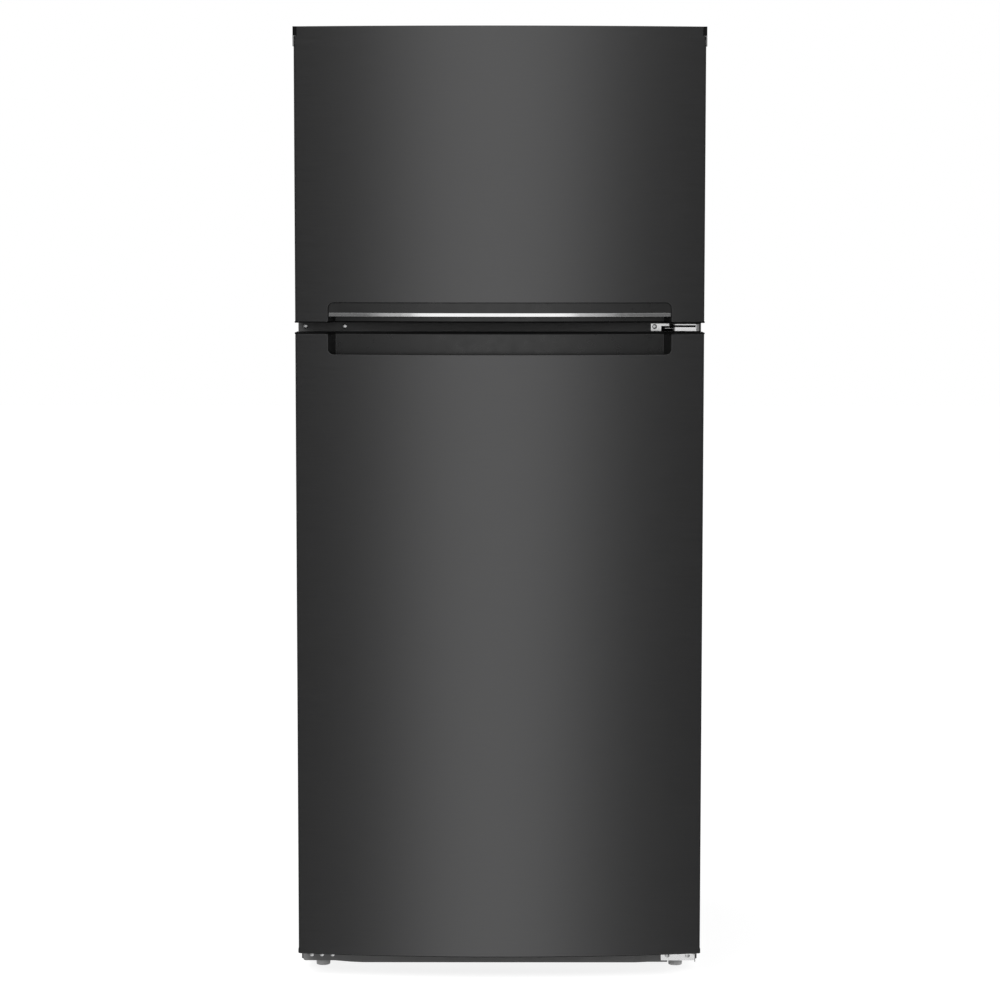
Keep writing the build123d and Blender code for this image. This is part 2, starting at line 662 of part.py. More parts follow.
def back_panel():
    """Upright sheet, bent inwards round the machine room below it."""
    upright = wide(INSIDE_HALF, Y_BACK - SHEET, Y_BACK, MACHINE_TOP, CABINET_TOP - SHEET)
    bent = wide(INSIDE_HALF, MACHINE_FRONT - SHEET, Y_BACK, DECK_TOP, MACHINE_TOP + SHEET)
    return upright + bent - wide(INSIDE_HALF, MACHINE_FRONT, Y_BACK + PAST, DECK_TOP, MACHINE_TOP)


def roller_ears():
    """Ears under the deck that hold the roller axles."""
    ears = []
    reach = ROLLER_WIDTH / 2 + RUN
    for side in (-1, 1):
        for end in (-1, 1):
            x0, x1 = sorted(side * ROLLER_X + end * (reach + sheet) for sheet in (0, EAR_SHEET))
            ears.append(block(x0, x1, ROLLER_Y - EAR_HALF, ROLLER_Y + EAR_HALF, EAR_BOTTOM, DECK_BOTTOM))
    return ears


def base_deck():
    plate = wide(INSIDE_HALF, Y_FRONT + SHEET, Y_BACK, DECK_BOTTOM, DECK_TOP)
    rail = wide(FLANGE_INNER - FIT, Y_FRONT, Y_FRONT + SHEET, DECK_BOTTOM, BOTTOM_RAIL_TOP)
    skirt = block(INSIDE_HALF - DECK, INSIDE_HALF, Y_FRONT + SHEET, Y_BACK, SHELL_BOTTOM, DECK_TOP)
    strap_top = GLAND_Z + 2 * GLAND_RADIUS
    strap_x0, strap_x1 = GLAND_X - GLAND_STRAP_HALF, GLAND_X + GLAND_STRAP_HALF
    strap = block(strap_x0, strap_x1, Y_BACK - DECK, Y_BACK, DECK_TOP, strap_top)
    nut = rod_z(FOOT_X, FOOT_Y, FOOT_NUT, DECK_BOTTOM, BOSS_RADIUS)
    deck = plate + rail + mirrored(skirt) + strap + mirrored(nut) + roller_ears()
    thread = rod_z(FOOT_X, FOOT_Y, FOOT_NUT - PAST, DECK_TOP + PAST, STEM_RADIUS + PIN_CLEAR)
    reach = ROLLER_WIDTH / 2 + RUN + EAR_SHEET + PAST
    axle = rod_x(ROLLER_Y, ROLLER_RADIUS, ROLLER_X - reach, ROLLER_X + reach, AXLE_RADIUS + AXLE_CLEAR)
    deck = deck - mirrored(thread) - mirrored(axle)
    return deck - rod_y(GLAND_X, GLAND_Z, Y_BACK - DECK - PAST, Y_BACK + PAST, GLAND_RADIUS + FIT)


def cord_gland():
    gland = rod_y(GLAND_X, GLAND_Z, GLAND_FRONT, GLAND_BACK, GLAND_RADIUS)
    for y in (GLAND_FRONT, Y_BACK):
        gland += rod_y(GLAND_X, GLAND_Z, y, y + GLAND_COLLAR_LENGTH, GLAND_RADIUS + GLAND_COLLAR)
    return gland - rod_y(GLAND_X, GLAND_Z, GLAND_FRONT - PAST, GLAND_BACK + PAST, GLAND_BORE)


def freezer_box(grow, front):
    """The freezer's space, grown by a wall."""
    bottom, top = FREEZER_FLOOR - grow, FREEZER_CEILING + grow
    return wide(FREEZER_HALF + grow, front, CAVITY_BACK + grow, bottom, top)


def fridge_box(grow, front):
    """The fridge's space above and in front of the machine room, grown by a wall."""
    half, top = FRIDGE_HALF + grow, FRIDGE_CEILING + grow
    upper = wide(half, front, CAVITY_BACK + grow, STEP_TOP - grow, top)
    return upper + wide(half, front, STEP_FRONT + grow, FRIDGE_FLOOR - grow, top)


def foam_walls(half, y_inner, y_outer, z0, z1):
    """Foam at both sides of a compartment and behind it."""
    side = block(half, INSIDE_HALF, Y_FRONT + SHEET, y_outer, z0, z1)
    return [side, mirror(side, about=Plane.YZ), wide(half, y_inner, y_outer, z0, z1)]


def cabinet_foam():
    """The foam, as slabs that meet face to face so that each is convex."""
    front, back = Y_FRONT + SHEET, Y_BACK - SHEET
    low_back = MACHINE_FRONT - SHEET
    step_bottom, step_top = MACHINE_TOP + SHEET, STEP_TOP - LINER
    fridge_bottom, fridge_top = FRIDGE_FLOOR - LINER, FRIDGE_CEILING + LINER
    freezer_bottom, freezer_top = FREEZER_FLOOR - LINER, FREEZER_CEILING + LINER
    fridge_half, cavity_back = FRIDGE_HALF + LINER, CAVITY_BACK + LINER
    slabs = [
        wide(INSIDE_HALF, front, low_back, DECK_TOP, fridge_bottom),
        wide(INSIDE_HALF, front, back, fridge_top, freezer_bottom),
        wide(INSIDE_HALF, front, back, freezer_top, CABINET_TOP - SHEET),
    ]
    slabs += foam_walls(fridge_half, STEP_FRONT + LINER, low_back, fridge_bottom, step_bottom)
    slabs += foam_walls(fridge_half, STEP_FRONT + LINER, back, step_bottom, step_top)
    slabs += foam_walls(fridge_half, cavity_back, back, step_top, fridge_top)
    slabs += foam_walls(FREEZER_HALF + LINER, cavity_back, back, freezer_bottom, freezer_top)
    return Compound([slab.solid() for slab in slabs])


def side_ribs(half, tops, y0, y1):
    """Pairs of ribs along both walls of a compartment, to carry shelves."""
    ribs = [block(half - RIB, half + LINER / 2, y0, y1, z - RIB_HEIGHT, z) for z in tops]
    return [mirrored(rib) for rib in ribs]


def freezer_liner():
    bottom, top = RAIL_TOP + FIT, CABINET_TOP - FLANGE - FIT
    flange = wide(FLANGE_INNER - FIT, Y_FRONT, Y_FRONT + SHEET, bottom, top)
    liner = freezer_box(LINER, Y_FRONT) + flange - freezer_box(0, Y_FRONT - PAST)
    return liner + side_ribs(FREEZER_HALF, [FREEZER_SHELF_Z - WIRE_RADIUS], SHELF_FRONT, FREEZER_SHELF_BACK)


def drawer_runners():
    """Rails on the fridge floor that the drawers slide on."""
    runners = []
    for side in (-1, 1):
        for x in (side * (CRISPER_INNER + RUNNER_INSET), side * (CRISPER_OUTER - RUNNER_INSET)):
            x0, x1 = x - RUNNER_HALF, x + RUNNER_HALF
            low = FRIDGE_FLOOR - LINER / 2
            runners.append(block(x0, x1, CRISPER_FRONT, STEP_FRONT, low, FRIDGE_FLOOR + RUNNER))
    return runners


def switch_rod(y0, y1, grow):
    """The lamp switch's square plunger, or its guide if grown."""
    half = SWITCH_SIDE / 2 + grow
    return block(SWITCH_X - half, SWITCH_X + half, y0, y1, SWITCH_Z - half, SWITCH_Z + half)


def fridge_liner():
    flange = wide(FLANGE_INNER - FIT, Y_FRONT, Y_FRONT + SHEET, BOTTOM_RAIL_TOP + FIT, RAIL_BOTTOM - FIT)
    liner = fridge_box(LINER, Y_FRONT) + flange - fridge_box(0, Y_FRONT - PAST)
    seats = [top - SHELF_HEIGHT for top in SHELF_TOPS]
    liner += side_ribs(FRIDGE_HALF, seats, SHELF_FRONT, CAVITY_BACK)
    liner += side_ribs(FRIDGE_HALF, [COVER_BOTTOM], SHELF_FRONT, STEP_FRONT)
    liner += drawer_runners()
    x0, x1 = SWITCH_X - SWITCH_BOSS_HALF, SWITCH_X + SWITCH_BOSS_HALF
    bottom, top = SWITCH_Z - SWITCH_BOSS_HALF, FRIDGE_CEILING + LINER / 2
    boss = block(x0, x1, SWITCH_BOSS_FRONT, SWITCH_BOSS_BACK, bottom, top)
    return liner + boss - switch_rod(Y_FRONT, SWITCH_BOSS_BACK + PAST, RUN)


def light_switch():
    return switch_rod(Y_DOOR + RUN, SWITCH_BOSS_BACK + SWITCH_TAIL, 0)


def mullion_rail():
    back = wide(FLANGE_INNER - FIT, Y_FRONT, Y_FRONT + SHEET, RAIL_BOTTOM, RAIL_TOP)
    rise = DOOR_GAP / 2 + MULLION_LAP
    strip = wide(CABINET_HALF - MULLION_INSET, MULLION_FACE, Y_FRONT, MULLION_Z - rise, MULLION_Z + rise)
    return drilled(back + strip)


def base_grille():
    """Panel below the door: its lower edge drops beside the left end, and its middle stands out."""
    half = CABINET_HALF - GRILLE_INSET
    ramp0, ramp1 = (-CABINET_HALF + inset for inset in GRILLE_RAMP)
    outline = [
        (-half, DECK_BOTTOM),
        (-half, GRILLE_END_BOTTOM),
        (ramp0, GRILLE_END_BOTTOM),
        (ramp1, GRILLE_BOTTOM),
        (half, GRILLE_BOTTOM),
        (half, DECK_BOTTOM),
    ]
    face = make_face(Polyline(*outline, close=True))
    face = fillet(face.vertices().sort_by(Axis.X)[:2].sort_by(Axis.Y)[:1], GRILLE_CORNER)
    panel = Pos(0, Y_FRONT, 0) * Rot(90, 0, 0) * extrude(face, amount=GRILLE)
    root, tip = -ramp1, -ramp1 - BULGE_SLOPE
    front = GRILLE_FACE - BULGE
    right = [(tip, front), (root, GRILLE_FACE), (root, Y_FRONT)]
    left = [(-x, y) for x, y in reversed(right)]
    bulge = raised(make_face(Polyline(*left, *right, close=True)), GRILLE_BOTTOM, DECK_BOTTOM - BULGE_DROP)
    notch_x0, notch_x1 = BOTTOM_PLATE_LEFT + BOTTOM_PLATE_NOTCH, CABINET_HALF - SKIRT_FLANGE
    low, high = GRILLE_BOTTOM - PAST, BOTTOM_PLATE_BOTTOM + FIT
    return drilled(panel + bulge - block(notch_x0, notch_x1, GRILLE_FACE - PAST, Y_FRONT + PAST, low, high))


# Hinges
def hinge_pin(z0, z1):
    return rod_z(HINGE_X, HINGE_Y, z0, z1, PIN_RADIUS)


def hinge_bore(radius):
    return rod_z(HINGE_X, HINGE_Y, 0, FREEZER_DOOR_TOP, radius)


def top_hinge():
    pad_front = Y_FRONT + TOP_PAD_FRONT
    pad_back = pad_front + TOP_PAD_LENGTH
    pad = block(HINGE_X - TOP_PAD_INNER, HINGE_X + TOP_PAD_OUTER, pad_front, pad_back, CABINET_TOP, TOP_PAD)
    neck = block(HINGE_X - NECK_HALF, HINGE_X + NECK_HALF, HINGE_Y, pad_front + PAST, NECK_BOTTOM, TOP_PAD)
    tip = rod_z(HINGE_X, HINGE_Y, NECK_BOTTOM, TOP_PAD, NECK_TIP)
    pin = hinge_pin(CABINET_TOP - BUSH_LENGTH + PIN_SHORT, TOP_PAD)
    return drilled(pad + neck + tip + pin)


def top_hinge_cover():
    x0, x1 = HINGE_X - TOP_PAD_INNER - HINGE_COVER_MARGIN, CABINET_HALF - HINGE_COVER_INSET
    y0 = Y_FRONT + HINGE_COVER_FRONT
    y1 = Y_FRONT + TOP_PAD_FRONT + TOP_PAD_LENGTH + HINGE_COVER_MARGIN
    top = FREEZER_DOOR_TOP - HINGE_COVER_DROP
    wall = HINGE_COVER_WALL
    shell = block(x0, x1, y0, y1, CABINET_TOP, top)
    shell = fillet(shell.edges().filter_by(Axis.Z), HINGE_COVER_CORNER)
    shell = fillet(shell.faces().sort_by(Axis.Z)[-1].edges(), HINGE_COVER_ROUND)
    shell -= block(x0 + wall, x1 - wall, y0 + wall, y1 - wall, CABINET_TOP - PAST, top - wall)
    low, high = CABINET_TOP - PAST, TOP_PAD + PAST
    return shell - block(HINGE_X - NECK_TIP, HINGE_X + NECK_TIP, y0 - PAST, y0 + wall + PAST, low, high)


def centre_hinge():
    """Plate on the mullion, a thin link to the arm, and a pin above and below the arm."""
    front, back = CENTRE_PLATE_FACE, MULLION_FACE
    bottom, top = MULLION_Z - CENTRE_PLATE_DROP, MULLION_Z + CENTRE_PLATE_RISE
    step_x, step_z = MULLION_SCREW_X + CENTRE_PLATE_RIGHT, MULLION_Z + CENTRE_PLATE_STEP
    tongue_end = step_x + CENTRE_PLATE_TONGUE
    plate = block(MULLION_SCREW_X - CENTRE_PLATE_LEFT, step_x, front, back, bottom, top)
    plate += block(step_x - PAST, tongue_end, front, back, step_z, top)
    link_bottom, link_top = MULLION_Z - LINK_DROP, MULLION_Z + LINK_RISE
    plate += block(tongue_end - LINK_LAP, tongue_end, front, back, link_bottom, step_z + PAST)
    plate += block(tongue_end - PAST, ARM_LEFT + PAST, front, back, link_bottom, link_top)
    plate += block(ARM_LEFT, ARM_RIGHT, front, back, ARM_BOTTOM, ARM_TOP)
    arm_front = HINGE_Y - ARM_FRONT
    arm = block(ARM_LEFT, ARM_RIGHT, arm_front, front, ARM_BOTTOM, ARM_TOP)
    arm = fillet(arm.edges().filter_by(Axis.Z).group_by(Axis.Y)[0].sort_by(Axis.X)[-1:], ARM_OUTER_CORNER)
    arm = fillet(arm.edges().filter_by(Axis.Z).group_by(Axis.Y)[0].sort_by(Axis.X)[:1], ARM_INNER_CORNER)
    slot_bottom, slot_top = (MULLION_Z + side for side in ARM_SLOT)
    arm -= block(ARM_LEFT - PAST, HINGE_X, arm_front - PAST, front - ARM_SLOT_BACK, slot_bottom, slot_top)
    reach = BUSH_LENGTH - PIN_SHORT
    pins = hinge_pin(FRIDGE_DOOR_TOP - reach, ARM_BOTTOM + PAST)
    pins += hinge_pin(ARM_TOP - PAST, FREEZER_DOOR_BOTTOM + reach)
    return drilled(plate + arm + pins)


def bottom_hinge():
    side = CABINET_HALF - SKIRT_FLANGE
    plate = block(BOTTOM_PLATE_LEFT, side, BOTTOM_PLATE_FACE, GRILLE_FACE, BOTTOM_PLATE_BOTTOM, LEAF_TOP)
    leaf = block(HINGE_X - LEAF_INNER, side, HINGE_Y - LEAF_FRONT, GRILLE_FACE, LEAF_BOTTOM, LEAF_TOP)
    leaf = fillet(leaf.edges().filter_by(Axis.Z).group_by(Axis.Y)[0], LEAF_CORNER)
    pin = hinge_pin(LEAF_BOTTOM, FRIDGE_DOOR_BOTTOM + BUSH_LENGTH - PIN_SHORT)
    return drilled(plate + leaf + pin)


def door_bush(z0, z1, collar_z):
    """Hinge bush with a collar that fills the gap to the hinge."""
    bush = rod_z(HINGE_X, HINGE_Y, z0, z1, BUSH_RADIUS) + rod_z(HINGE_X, HINGE_Y, *collar_z, BOSS_RADIUS)
    return (bush - hinge_bore(PIN_RADIUS + PIN_CLEAR)).solid()


def freezer_door_bushes():
    low, high = FREEZER_DOOR_BOTTOM, CABINET_TOP
    return Compound([
        door_bush(low, low + BUSH_LENGTH, (ARM_TOP + RUN, low)),
        door_bush(high - BUSH_LENGTH, high, (high, NECK_BOTTOM - RUN)),
    ])


def fridge_door_bushes():
    low, high = FRIDGE_DOOR_BOTTOM, FRIDGE_DOOR_TOP
    return Compound([
        door_bush(low, low + BUSH_LENGTH, (LEAF_TOP + RUN, low)),
        door_bush(high - BUSH_LENGTH, high, (high, ARM_BOTTOM - RUN)),
    ])


# Doors
def skin_shell(z0, z1):
    outer = raised(door_section(0, Y_DOOR), z0, z1)
    return outer - raised(door_section(SHEET, Y_DOOR + PAST), z0 - PAST, z1 + PAST)


def freezer_window(inset):
    """Window of the freezer door's recess, open at the door's lower end."""
    return recess_cutter(inset, FREEZER_DOOR_BOTTOM - 2 * RECESS_CORNER, FREEZER_RECESS_TOP - inset)


def fridge_window():
    """Window of the fridge door's recess, open at the door's upper end."""
    return recess_cutter(0, FRIDGE_RECESS_BOTTOM, FRIDGE_DOOR_TOP + 2 * RECESS_CORNER)


def freezer_door_skin():
    skin = skin_shell(FREEZER_DOOR_BOTTOM + CAP, FREEZER_DOOR_TOP)
    side, top = DOOR_HALF + PAST, FREEZER_DOOR_TOP + PAST
    returns = block(LIP_HALF, side, Y_BOW, Y_DOOR + PAST, CABINET_TOP, top)
    return skin - mirrored(returns) - freezer_window(0)


def fridge_door_skin():
    return skin_shell(FRIDGE_DOOR_BOTTOM + BOTTOM_CAP, FRIDGE_DOOR_TOP - CAP) - fridge_window()


def freezer_handle():
    """Pocket that opens downwards behind a pull lip with a groove round it."""
    top = FREEZER_RECESS_TOP + POCKET_WALL
    shell = handle_block(SKIN_BACK, 0, FREEZER_DOOR_BOTTOM + CAP, top)
    shell -= pocket(FREEZER_DOOR_BOTTOM - PAST, FREEZER_RECESS_TOP)
    shell += handle_wall(LIP_DEPTH, FREEZER_LIP_BOTTOM, top - POCKET_WALL / 2)
    half = RECESS_HALF + 2 * POCKET_WALL
    layer = bowed_block(-PAST, SKIN_BACK + GROOVE_DEPTH, half, half, FREEZER_LIP_BOTTOM, top)
    groove = (freezer_window(0) - freezer_window(GROOVE)) & layer
    return shell - groove


def freezer_handle_trim():
    """Bright strip along the lower edge of the pull lip, folded under it."""
    front, back = SHEET - TRIM_LEAF, SHEET
    half = RECESS_HALF - GROOVE
    low = FREEZER_LIP_BOTTOM - TRIM_LEAF
    leaf = bowed_block(front, back, half, half, low, FREEZER_LIP_BOTTOM + TRIM_HEIGHT)
    back_half = end_half(LIP_DEPTH) - POCKET_WALL
    return leaf + bowed_block(front, LIP_DEPTH, half, back_half, low, FREEZER_LIP_BOTTOM)


def fridge_handle():
    """Pocket that opens upwards, with finger room below its window."""
    floor = FRIDGE_POCKET_BOTTOM - POCKET_WALL
    shell = handle_block(SKIN_BACK, 0, floor, FRIDGE_DOOR_TOP - CAP)
    shell -= pocket(FRIDGE_POCKET_BOTTOM, FRIDGE_DOOR_TOP + PAST)
    return shell + handle_wall(SKIN_BACK + POCKET_WALL, floor + POCKET_WALL / 2, FRIDGE_RECESS_BOTTOM)


def end_cap(flange_z, plug_z, boss_z, bead_z):
    """Door end cap: a flange over the skin's end, a plug inside it, a boss for the bush and side beads."""
    flange = raised(door_section(0, Y_DOOR), *flange_z)
    bead_front = Y_EDGE + DOOR_CORNER
    bead_back = bead_front + BEAD_DEPTH
    outer = DOOR_HALF + BEAD
    bead = block(DOOR_HALF + FIT, outer, bead_front, bead_back, *bead_z)
    bead = fillet(bead.edges().filter_by(Axis.Y).group_by(Axis.X)[-1], BEAD_ROUND)
    bead += block(DOOR_HALF - BEAD_ROOT, outer - BEAD_ROUND, bead_front, bead_back, *flange_z)
    plug = raised(door_section(SKIN_BACK, Y_DOOR), *plug_z)
    boss = rod_z(HINGE_X, HINGE_Y, *boss_z, BOSS_RADIUS)
    return flange + mirrored(bead) + plug + boss - hinge_bore(BUSH_RADIUS + PIN_CLEAR)


def lower_cap(z, flange, bead):
    plug = (z + flange, z + flange + CAP_PLUG)
    return end_cap((z, z + flange), plug, (z, z + BOSS_LENGTH), (z, z + bead))


def upper_cap(z, flange, bead):
    plug = (z - flange - CAP_PLUG, z - flange)
    return end_cap((z - flange, z), plug, (z - BOSS_LENGTH, z), (z - bead, z))


def freezer_door_bottom_cap():
    notch = handle_block(-PAST, FIT, FREEZER_DOOR_BOTTOM - PAST, FREEZER_CORE_BOTTOM + PAST)
    return lower_cap(FREEZER_DOOR_BOTTOM, CAP, CAP) - notch


def fridge_door_top_cap():
    notch = handle_block(-PAST, FIT, FRIDGE_CORE_TOP - PAST, FRIDGE_DOOR_TOP + PAST)
    return upper_cap(FRIDGE_DOOR_TOP, CAP, CAP) - notch


def fridge_door_bottom_cap():
    return lower_cap(FRIDGE_DOOR_BOTTOM, BOTTOM_CAP, BOTTOM_BEAD)


def freezer_door_top_cap():
    """Cap behind the door's lip: floor, rim, boss and an ear at each side."""
    floor = raised(door_section(SKIN_BACK, Y_DOOR), FREEZER_CAP_BOTTOM, CABINET_TOP)
    rim_half = LIP_HALF + FIT
    rim = bowed_block(SKIN_BACK, SKIN_BACK + RIM, rim_half, rim_half, FREEZER_CAP_BOTTOM, FREEZER_DOOR_TOP)
    outer = DOOR_HALF + EAR_PROUD
    ear_back = Y_EDGE + EAR_DEPTH
    low, high = FREEZER_DOOR_TOP - EAR_HEIGHT, FREEZER_DOOR_TOP
    ear = block(rim_half, outer, Y_EDGE, ear_back, CABINET_TOP + FIT, high)
    ear += block(DOOR_HALF + FIT, outer, Y_EDGE, ear_back, low, CABINET_TOP + PAST)
    ear += block(LIP_HALF - EAR_TIE_LAP, DOOR_HALF, ear_back - EAR_TIE, ear_back, CABINET_TOP + FIT, high)
    boss = rod_z(HINGE_X, HINGE_Y, CABINET_TOP - BOSS_LENGTH, CABINET_TOP, BOSS_RADIUS)
    return floor + rim + mirrored(ear) + boss - hinge_bore(BUSH_RADIUS + PIN_CLEAR)


def dike(half, z0, z1, grow):
    """Raised frame inside a door: the liner's outside, or the foam inside it."""
    back = Y_DOOR + DIKE_DEPTH - grow
    front = DOOR_LINER_FRONT - grow / 2
    outer = wide(half - grow, front, back, z0 + grow, z1 - grow)
    inner_half = half - DIKE_WIDTH + grow
    inner = wide(inner_half, front - PAST, back + PAST, z0 + DIKE_WIDTH - grow, z1 - DIKE_WIDTH + grow)
    return outer - inner


def hinge_bosses():
    """Room in the foam for the bosses of the end caps."""
    room = BOSS_LENGTH + FIT
    ends = [
        (FRIDGE_DOOR_BOTTOM, FRIDGE_DOOR_BOTTOM + room),
        (FRIDGE_DOOR_TOP - room, FRIDGE_DOOR_TOP),
        (FREEZER_DOOR_BOTTOM, FREEZER_DOOR_BOTTOM + room),
        (CABINET_TOP - room, CABINET_TOP),
    ]
    return [rod_z(HINGE_X, HINGE_Y, z0, z1, BOSS_RADIUS + FIT) for z0, z1 in ends]


def door_core(z0, z1, dike_place, handle_room):
    slab = raised(door_section(SKIN_BACK, DOOR_LINER_FRONT), z0, z1)
    return slab + dike(*dike_place, LINER) - handle_room - hinge_bosses()


def freezer_door_core():
    top = FREEZER_RECESS_TOP + POCKET_WALL + FIT
    handle_room = handle_block(0, FIT, FREEZER_DOOR_BOTTOM, top)
    return door_core(FREEZER_CORE_BOTTOM, FREEZER_CAP_BOTTOM, FREEZER_DIKE, handle_room)


def fridge_door_core():
    bottom = FRIDGE_POCKET_BOTTOM - POCKET_WALL - FIT
    handle_room = handle_block(0, FIT, bottom, FRIDGE_DOOR_TOP)
    return door_core(FRIDGE_CORE_BOTTOM, FRIDGE_CORE_TOP, FRIDGE_DIKE, handle_room)


def bin_floors(dike_place, margins, count):
    half, z0, z1 = dike_place
    return spaced(z0 + margins[0], z1 - margins[1], count)


FREEZER_BIN_FLOORS = bin_floors(FREEZER_DIKE, FREEZER_BIN_MARGINS, FREEZER_BIN_COUNT)
FRIDGE_BIN_FLOORS = bin_floors(FRIDGE_DIKE, FRIDGE_BIN_MARGINS, FRIDGE_BIN_COUNT)


def door_liner(z0, z1, dike_place, floors):
    """Inner wall of a door with its raised frame and lugs that carry the bins."""
    plate = wide(DOOR_HALF - SKIN_BACK, DOOR_LINER_FRONT, Y_DOOR, z0, z1)
    liner = plate + dike(*dike_place, 0) - dike(*dike_place, LINER)
    inner = dike_place[0] - DIKE_WIDTH
    front, back = Y_DOOR - LINER / 2, Y_DOOR + DIKE_DEPTH - BIN_LUG_SETBACK
    for z in floors:
        liner += mirrored(block(inner - BIN_LUG, inner + LINER / 2, front, back, z - BIN_LUG, z))
    return liner


def freezer_door_liner():
    return door_liner(FREEZER_CORE_BOTTOM, FREEZER_CAP_BOTTOM, FREEZER_DIKE, FREEZER_BIN_FLOORS)


def fridge_door_liner():
    return door_liner(FRIDGE_CORE_BOTTOM, FRIDGE_CORE_TOP, FRIDGE_DIKE, FRIDGE_BIN_FLOORS)


def gasket(z0, z1):
    """Seal ring: a flat base on the door and a bulb that meets the cabinet."""
    half = DOOR_HALF - GASKET_INSET
    base = frame(half, z0, z1, GASKET_WIDTH, Y_DOOR, Y_DOOR + GASKET_BASE)
    step = (GASKET_WIDTH - GASKET_BULB) / 2
    bulb = frame(half - step, z0 + step, z1 - step, GASKET_BULB, Y_DOOR + GASKET_BASE, Y_FRONT - RUN)
    return base + bulb


def freezer_door_gasket():
    return gasket(FREEZER_DOOR_BOTTOM + SEAL_LAND, CABINET_TOP - SEAL_LAND)


def fridge_door_gasket():
    return gasket(FRIDGE_DOOR_BOTTOM + LOW_SEAL_LAND, FRIDGE_DOOR_TOP - SEAL_LAND)


def door_bin(dike_place, z, height):
    half = dike_place[0] - DIKE_WIDTH - FIT
    return tray(-half, half, Y_DOOR, Y_DOOR + BIN_DEPTH, z, z + height, BIN_WALL, BIN_CORNER)


def freezer_door_bins():
    bins = [door_bin(FREEZER_DIKE, z, FREEZER_BIN_HEIGHT).solid() for z in FREEZER_BIN_FLOORS]
    return Compound(bins)


# Inside the freezer
def freezer_shelf():
    """Wire shelf: cross wires below, long wires above and a flat rail in front."""
    half = FREEZER_HALF - SHELF_PLAY
    front, back, z = SHELF_FRONT, FREEZER_SHELF_BACK, FREEZER_SHELF_Z
    shelf = wide(half, front, front + SHELF_RAIL, z - WIRE_RADIUS, z + SHELF_RAIL_RISE)
    for y in ((front + back) / 2, back - WIRE_END):
        shelf += rod_x(y, z, -half, half, WIRE_RADIUS)
    count = int(2 * half / WIRE_GAP)
    first = -half + WIRE_END
    for i in range(count + 1):
        x = first - 2 * first * i / count
        shelf += rod_y(x, z + WIRE_RISE, front + SHELF_RAIL / 2, back, WIRE_RADIUS)
    return shelf


def air_slots(y0, y1):
    """Return slots near the floor and louvres on both sides of the fan."""
    slots = []
    low = FREEZER_FLOOR + RETURN_RISE
    for i in range(RETURN_SLOTS):
        x = (i - (RETURN_SLOTS - 1) / 2) * RETURN_PITCH
        slots.append(block(x - RETURN_HALF, x + RETURN_HALF, y0, y1, low, low + RETURN_HEIGHT))
    for i in range(LOUVRES):
        z = FAN_Z + (i - (LOUVRES - 1) / 2) * LOUVRE_PITCH
        for x in (-LOUVRE_X, LOUVRE_X):
            x0, x1 = x - LOUVRE_HALF, x + LOUVRE_HALF
            slots.append(block(x0, x1, y0, y1, z - LOUVRE_HEIGHT / 2, z + LOUVRE_HEIGHT / 2))
    return slots


def evaporator_cover():
    y0, y1 = EVAPORATOR_FRONT, EVAPORATOR_FRONT + COVER_SHEET
    half = FREEZER_HALF - FIT
    z0, z1 = FREEZER_FLOOR + FIT, FREEZER_CEILING - FIT
    cover = wide(half, y0, y1, z0, z1)
    cover += mirrored(block(half - COVER_SHEET, half, y0, CAVITY_BACK - FIT, z0, z1))
    cover -= rod_y(0, FAN_Z, y0 - PAST, y1 + PAST, FAN_RADIUS + FAN_MOUTH)
    cover -= air_slots(y0 - PAST, y1 + PAST)
    x, z = FREEZER_KNOB
    return cover - rod_y(x, z, y0 - PAST, y1 + PAST, SHAFT_RADIUS + PIN_CLEAR)


def evaporator_fan_motor():
    """Motor on a strap whose legs stand on the back of the cover."""
    motor = rod_y(0, FAN_Z, MOTOR_FRONT, MOTOR_FRONT + MOTOR_LENGTH, MOTOR_RADIUS)
    motor += rod_y(0, FAN_Z, FAN_FRONT + SHAFT_RADIUS, MOTOR_FRONT + PAST, SHAFT_RADIUS)
    reach = FAN_RADIUS + STRAP_REACH
    y0 = MOTOR_FRONT + MOTOR_LENGTH / 2
    y1 = y0 + STRAP_SHEET
    low, high = FAN_Z - STRAP_HALF_HEIGHT, FAN_Z + STRAP_HALF_HEIGHT
    motor += wide(reach, y0, y1, low, high)
    return motor + mirrored(block(reach - STRAP_LEG, reach, EVAPORATOR_FRONT + COVER_SHEET, y1, low, high))


def evaporator_fan():
    fan = rod_y(0, FAN_Z, FAN_FRONT, FAN_FRONT + HUB_LENGTH, FAN_HUB)
    middle = FAN_FRONT + HUB_LENGTH / 2
    reach = FAN_RADIUS - BLADE_ROOT
    for i in range(FAN_BLADES):
        blade = Pos(BLADE_ROOT + reach / 2, 0, 0) * Rot(FAN_PITCH, 0, 0) * Box(reach, BLADE, FAN_CHORD)
        fan += Pos(0, middle, FAN_Z) * Rot(0, i * 360 / FAN_BLADES, 0) * blade
    return fan - rod_y(0, FAN_Z, FAN_FRONT - PAST, MOTOR_FRONT, SHAFT_RADIUS + PIN_CLEAR)


def heater_rod(radius):
    reach = EVAPORATOR_HALF + HEATER_REACH
    return rod_x(EVAPORATOR_Y, HEATER_Z, -reach, reach, radius)


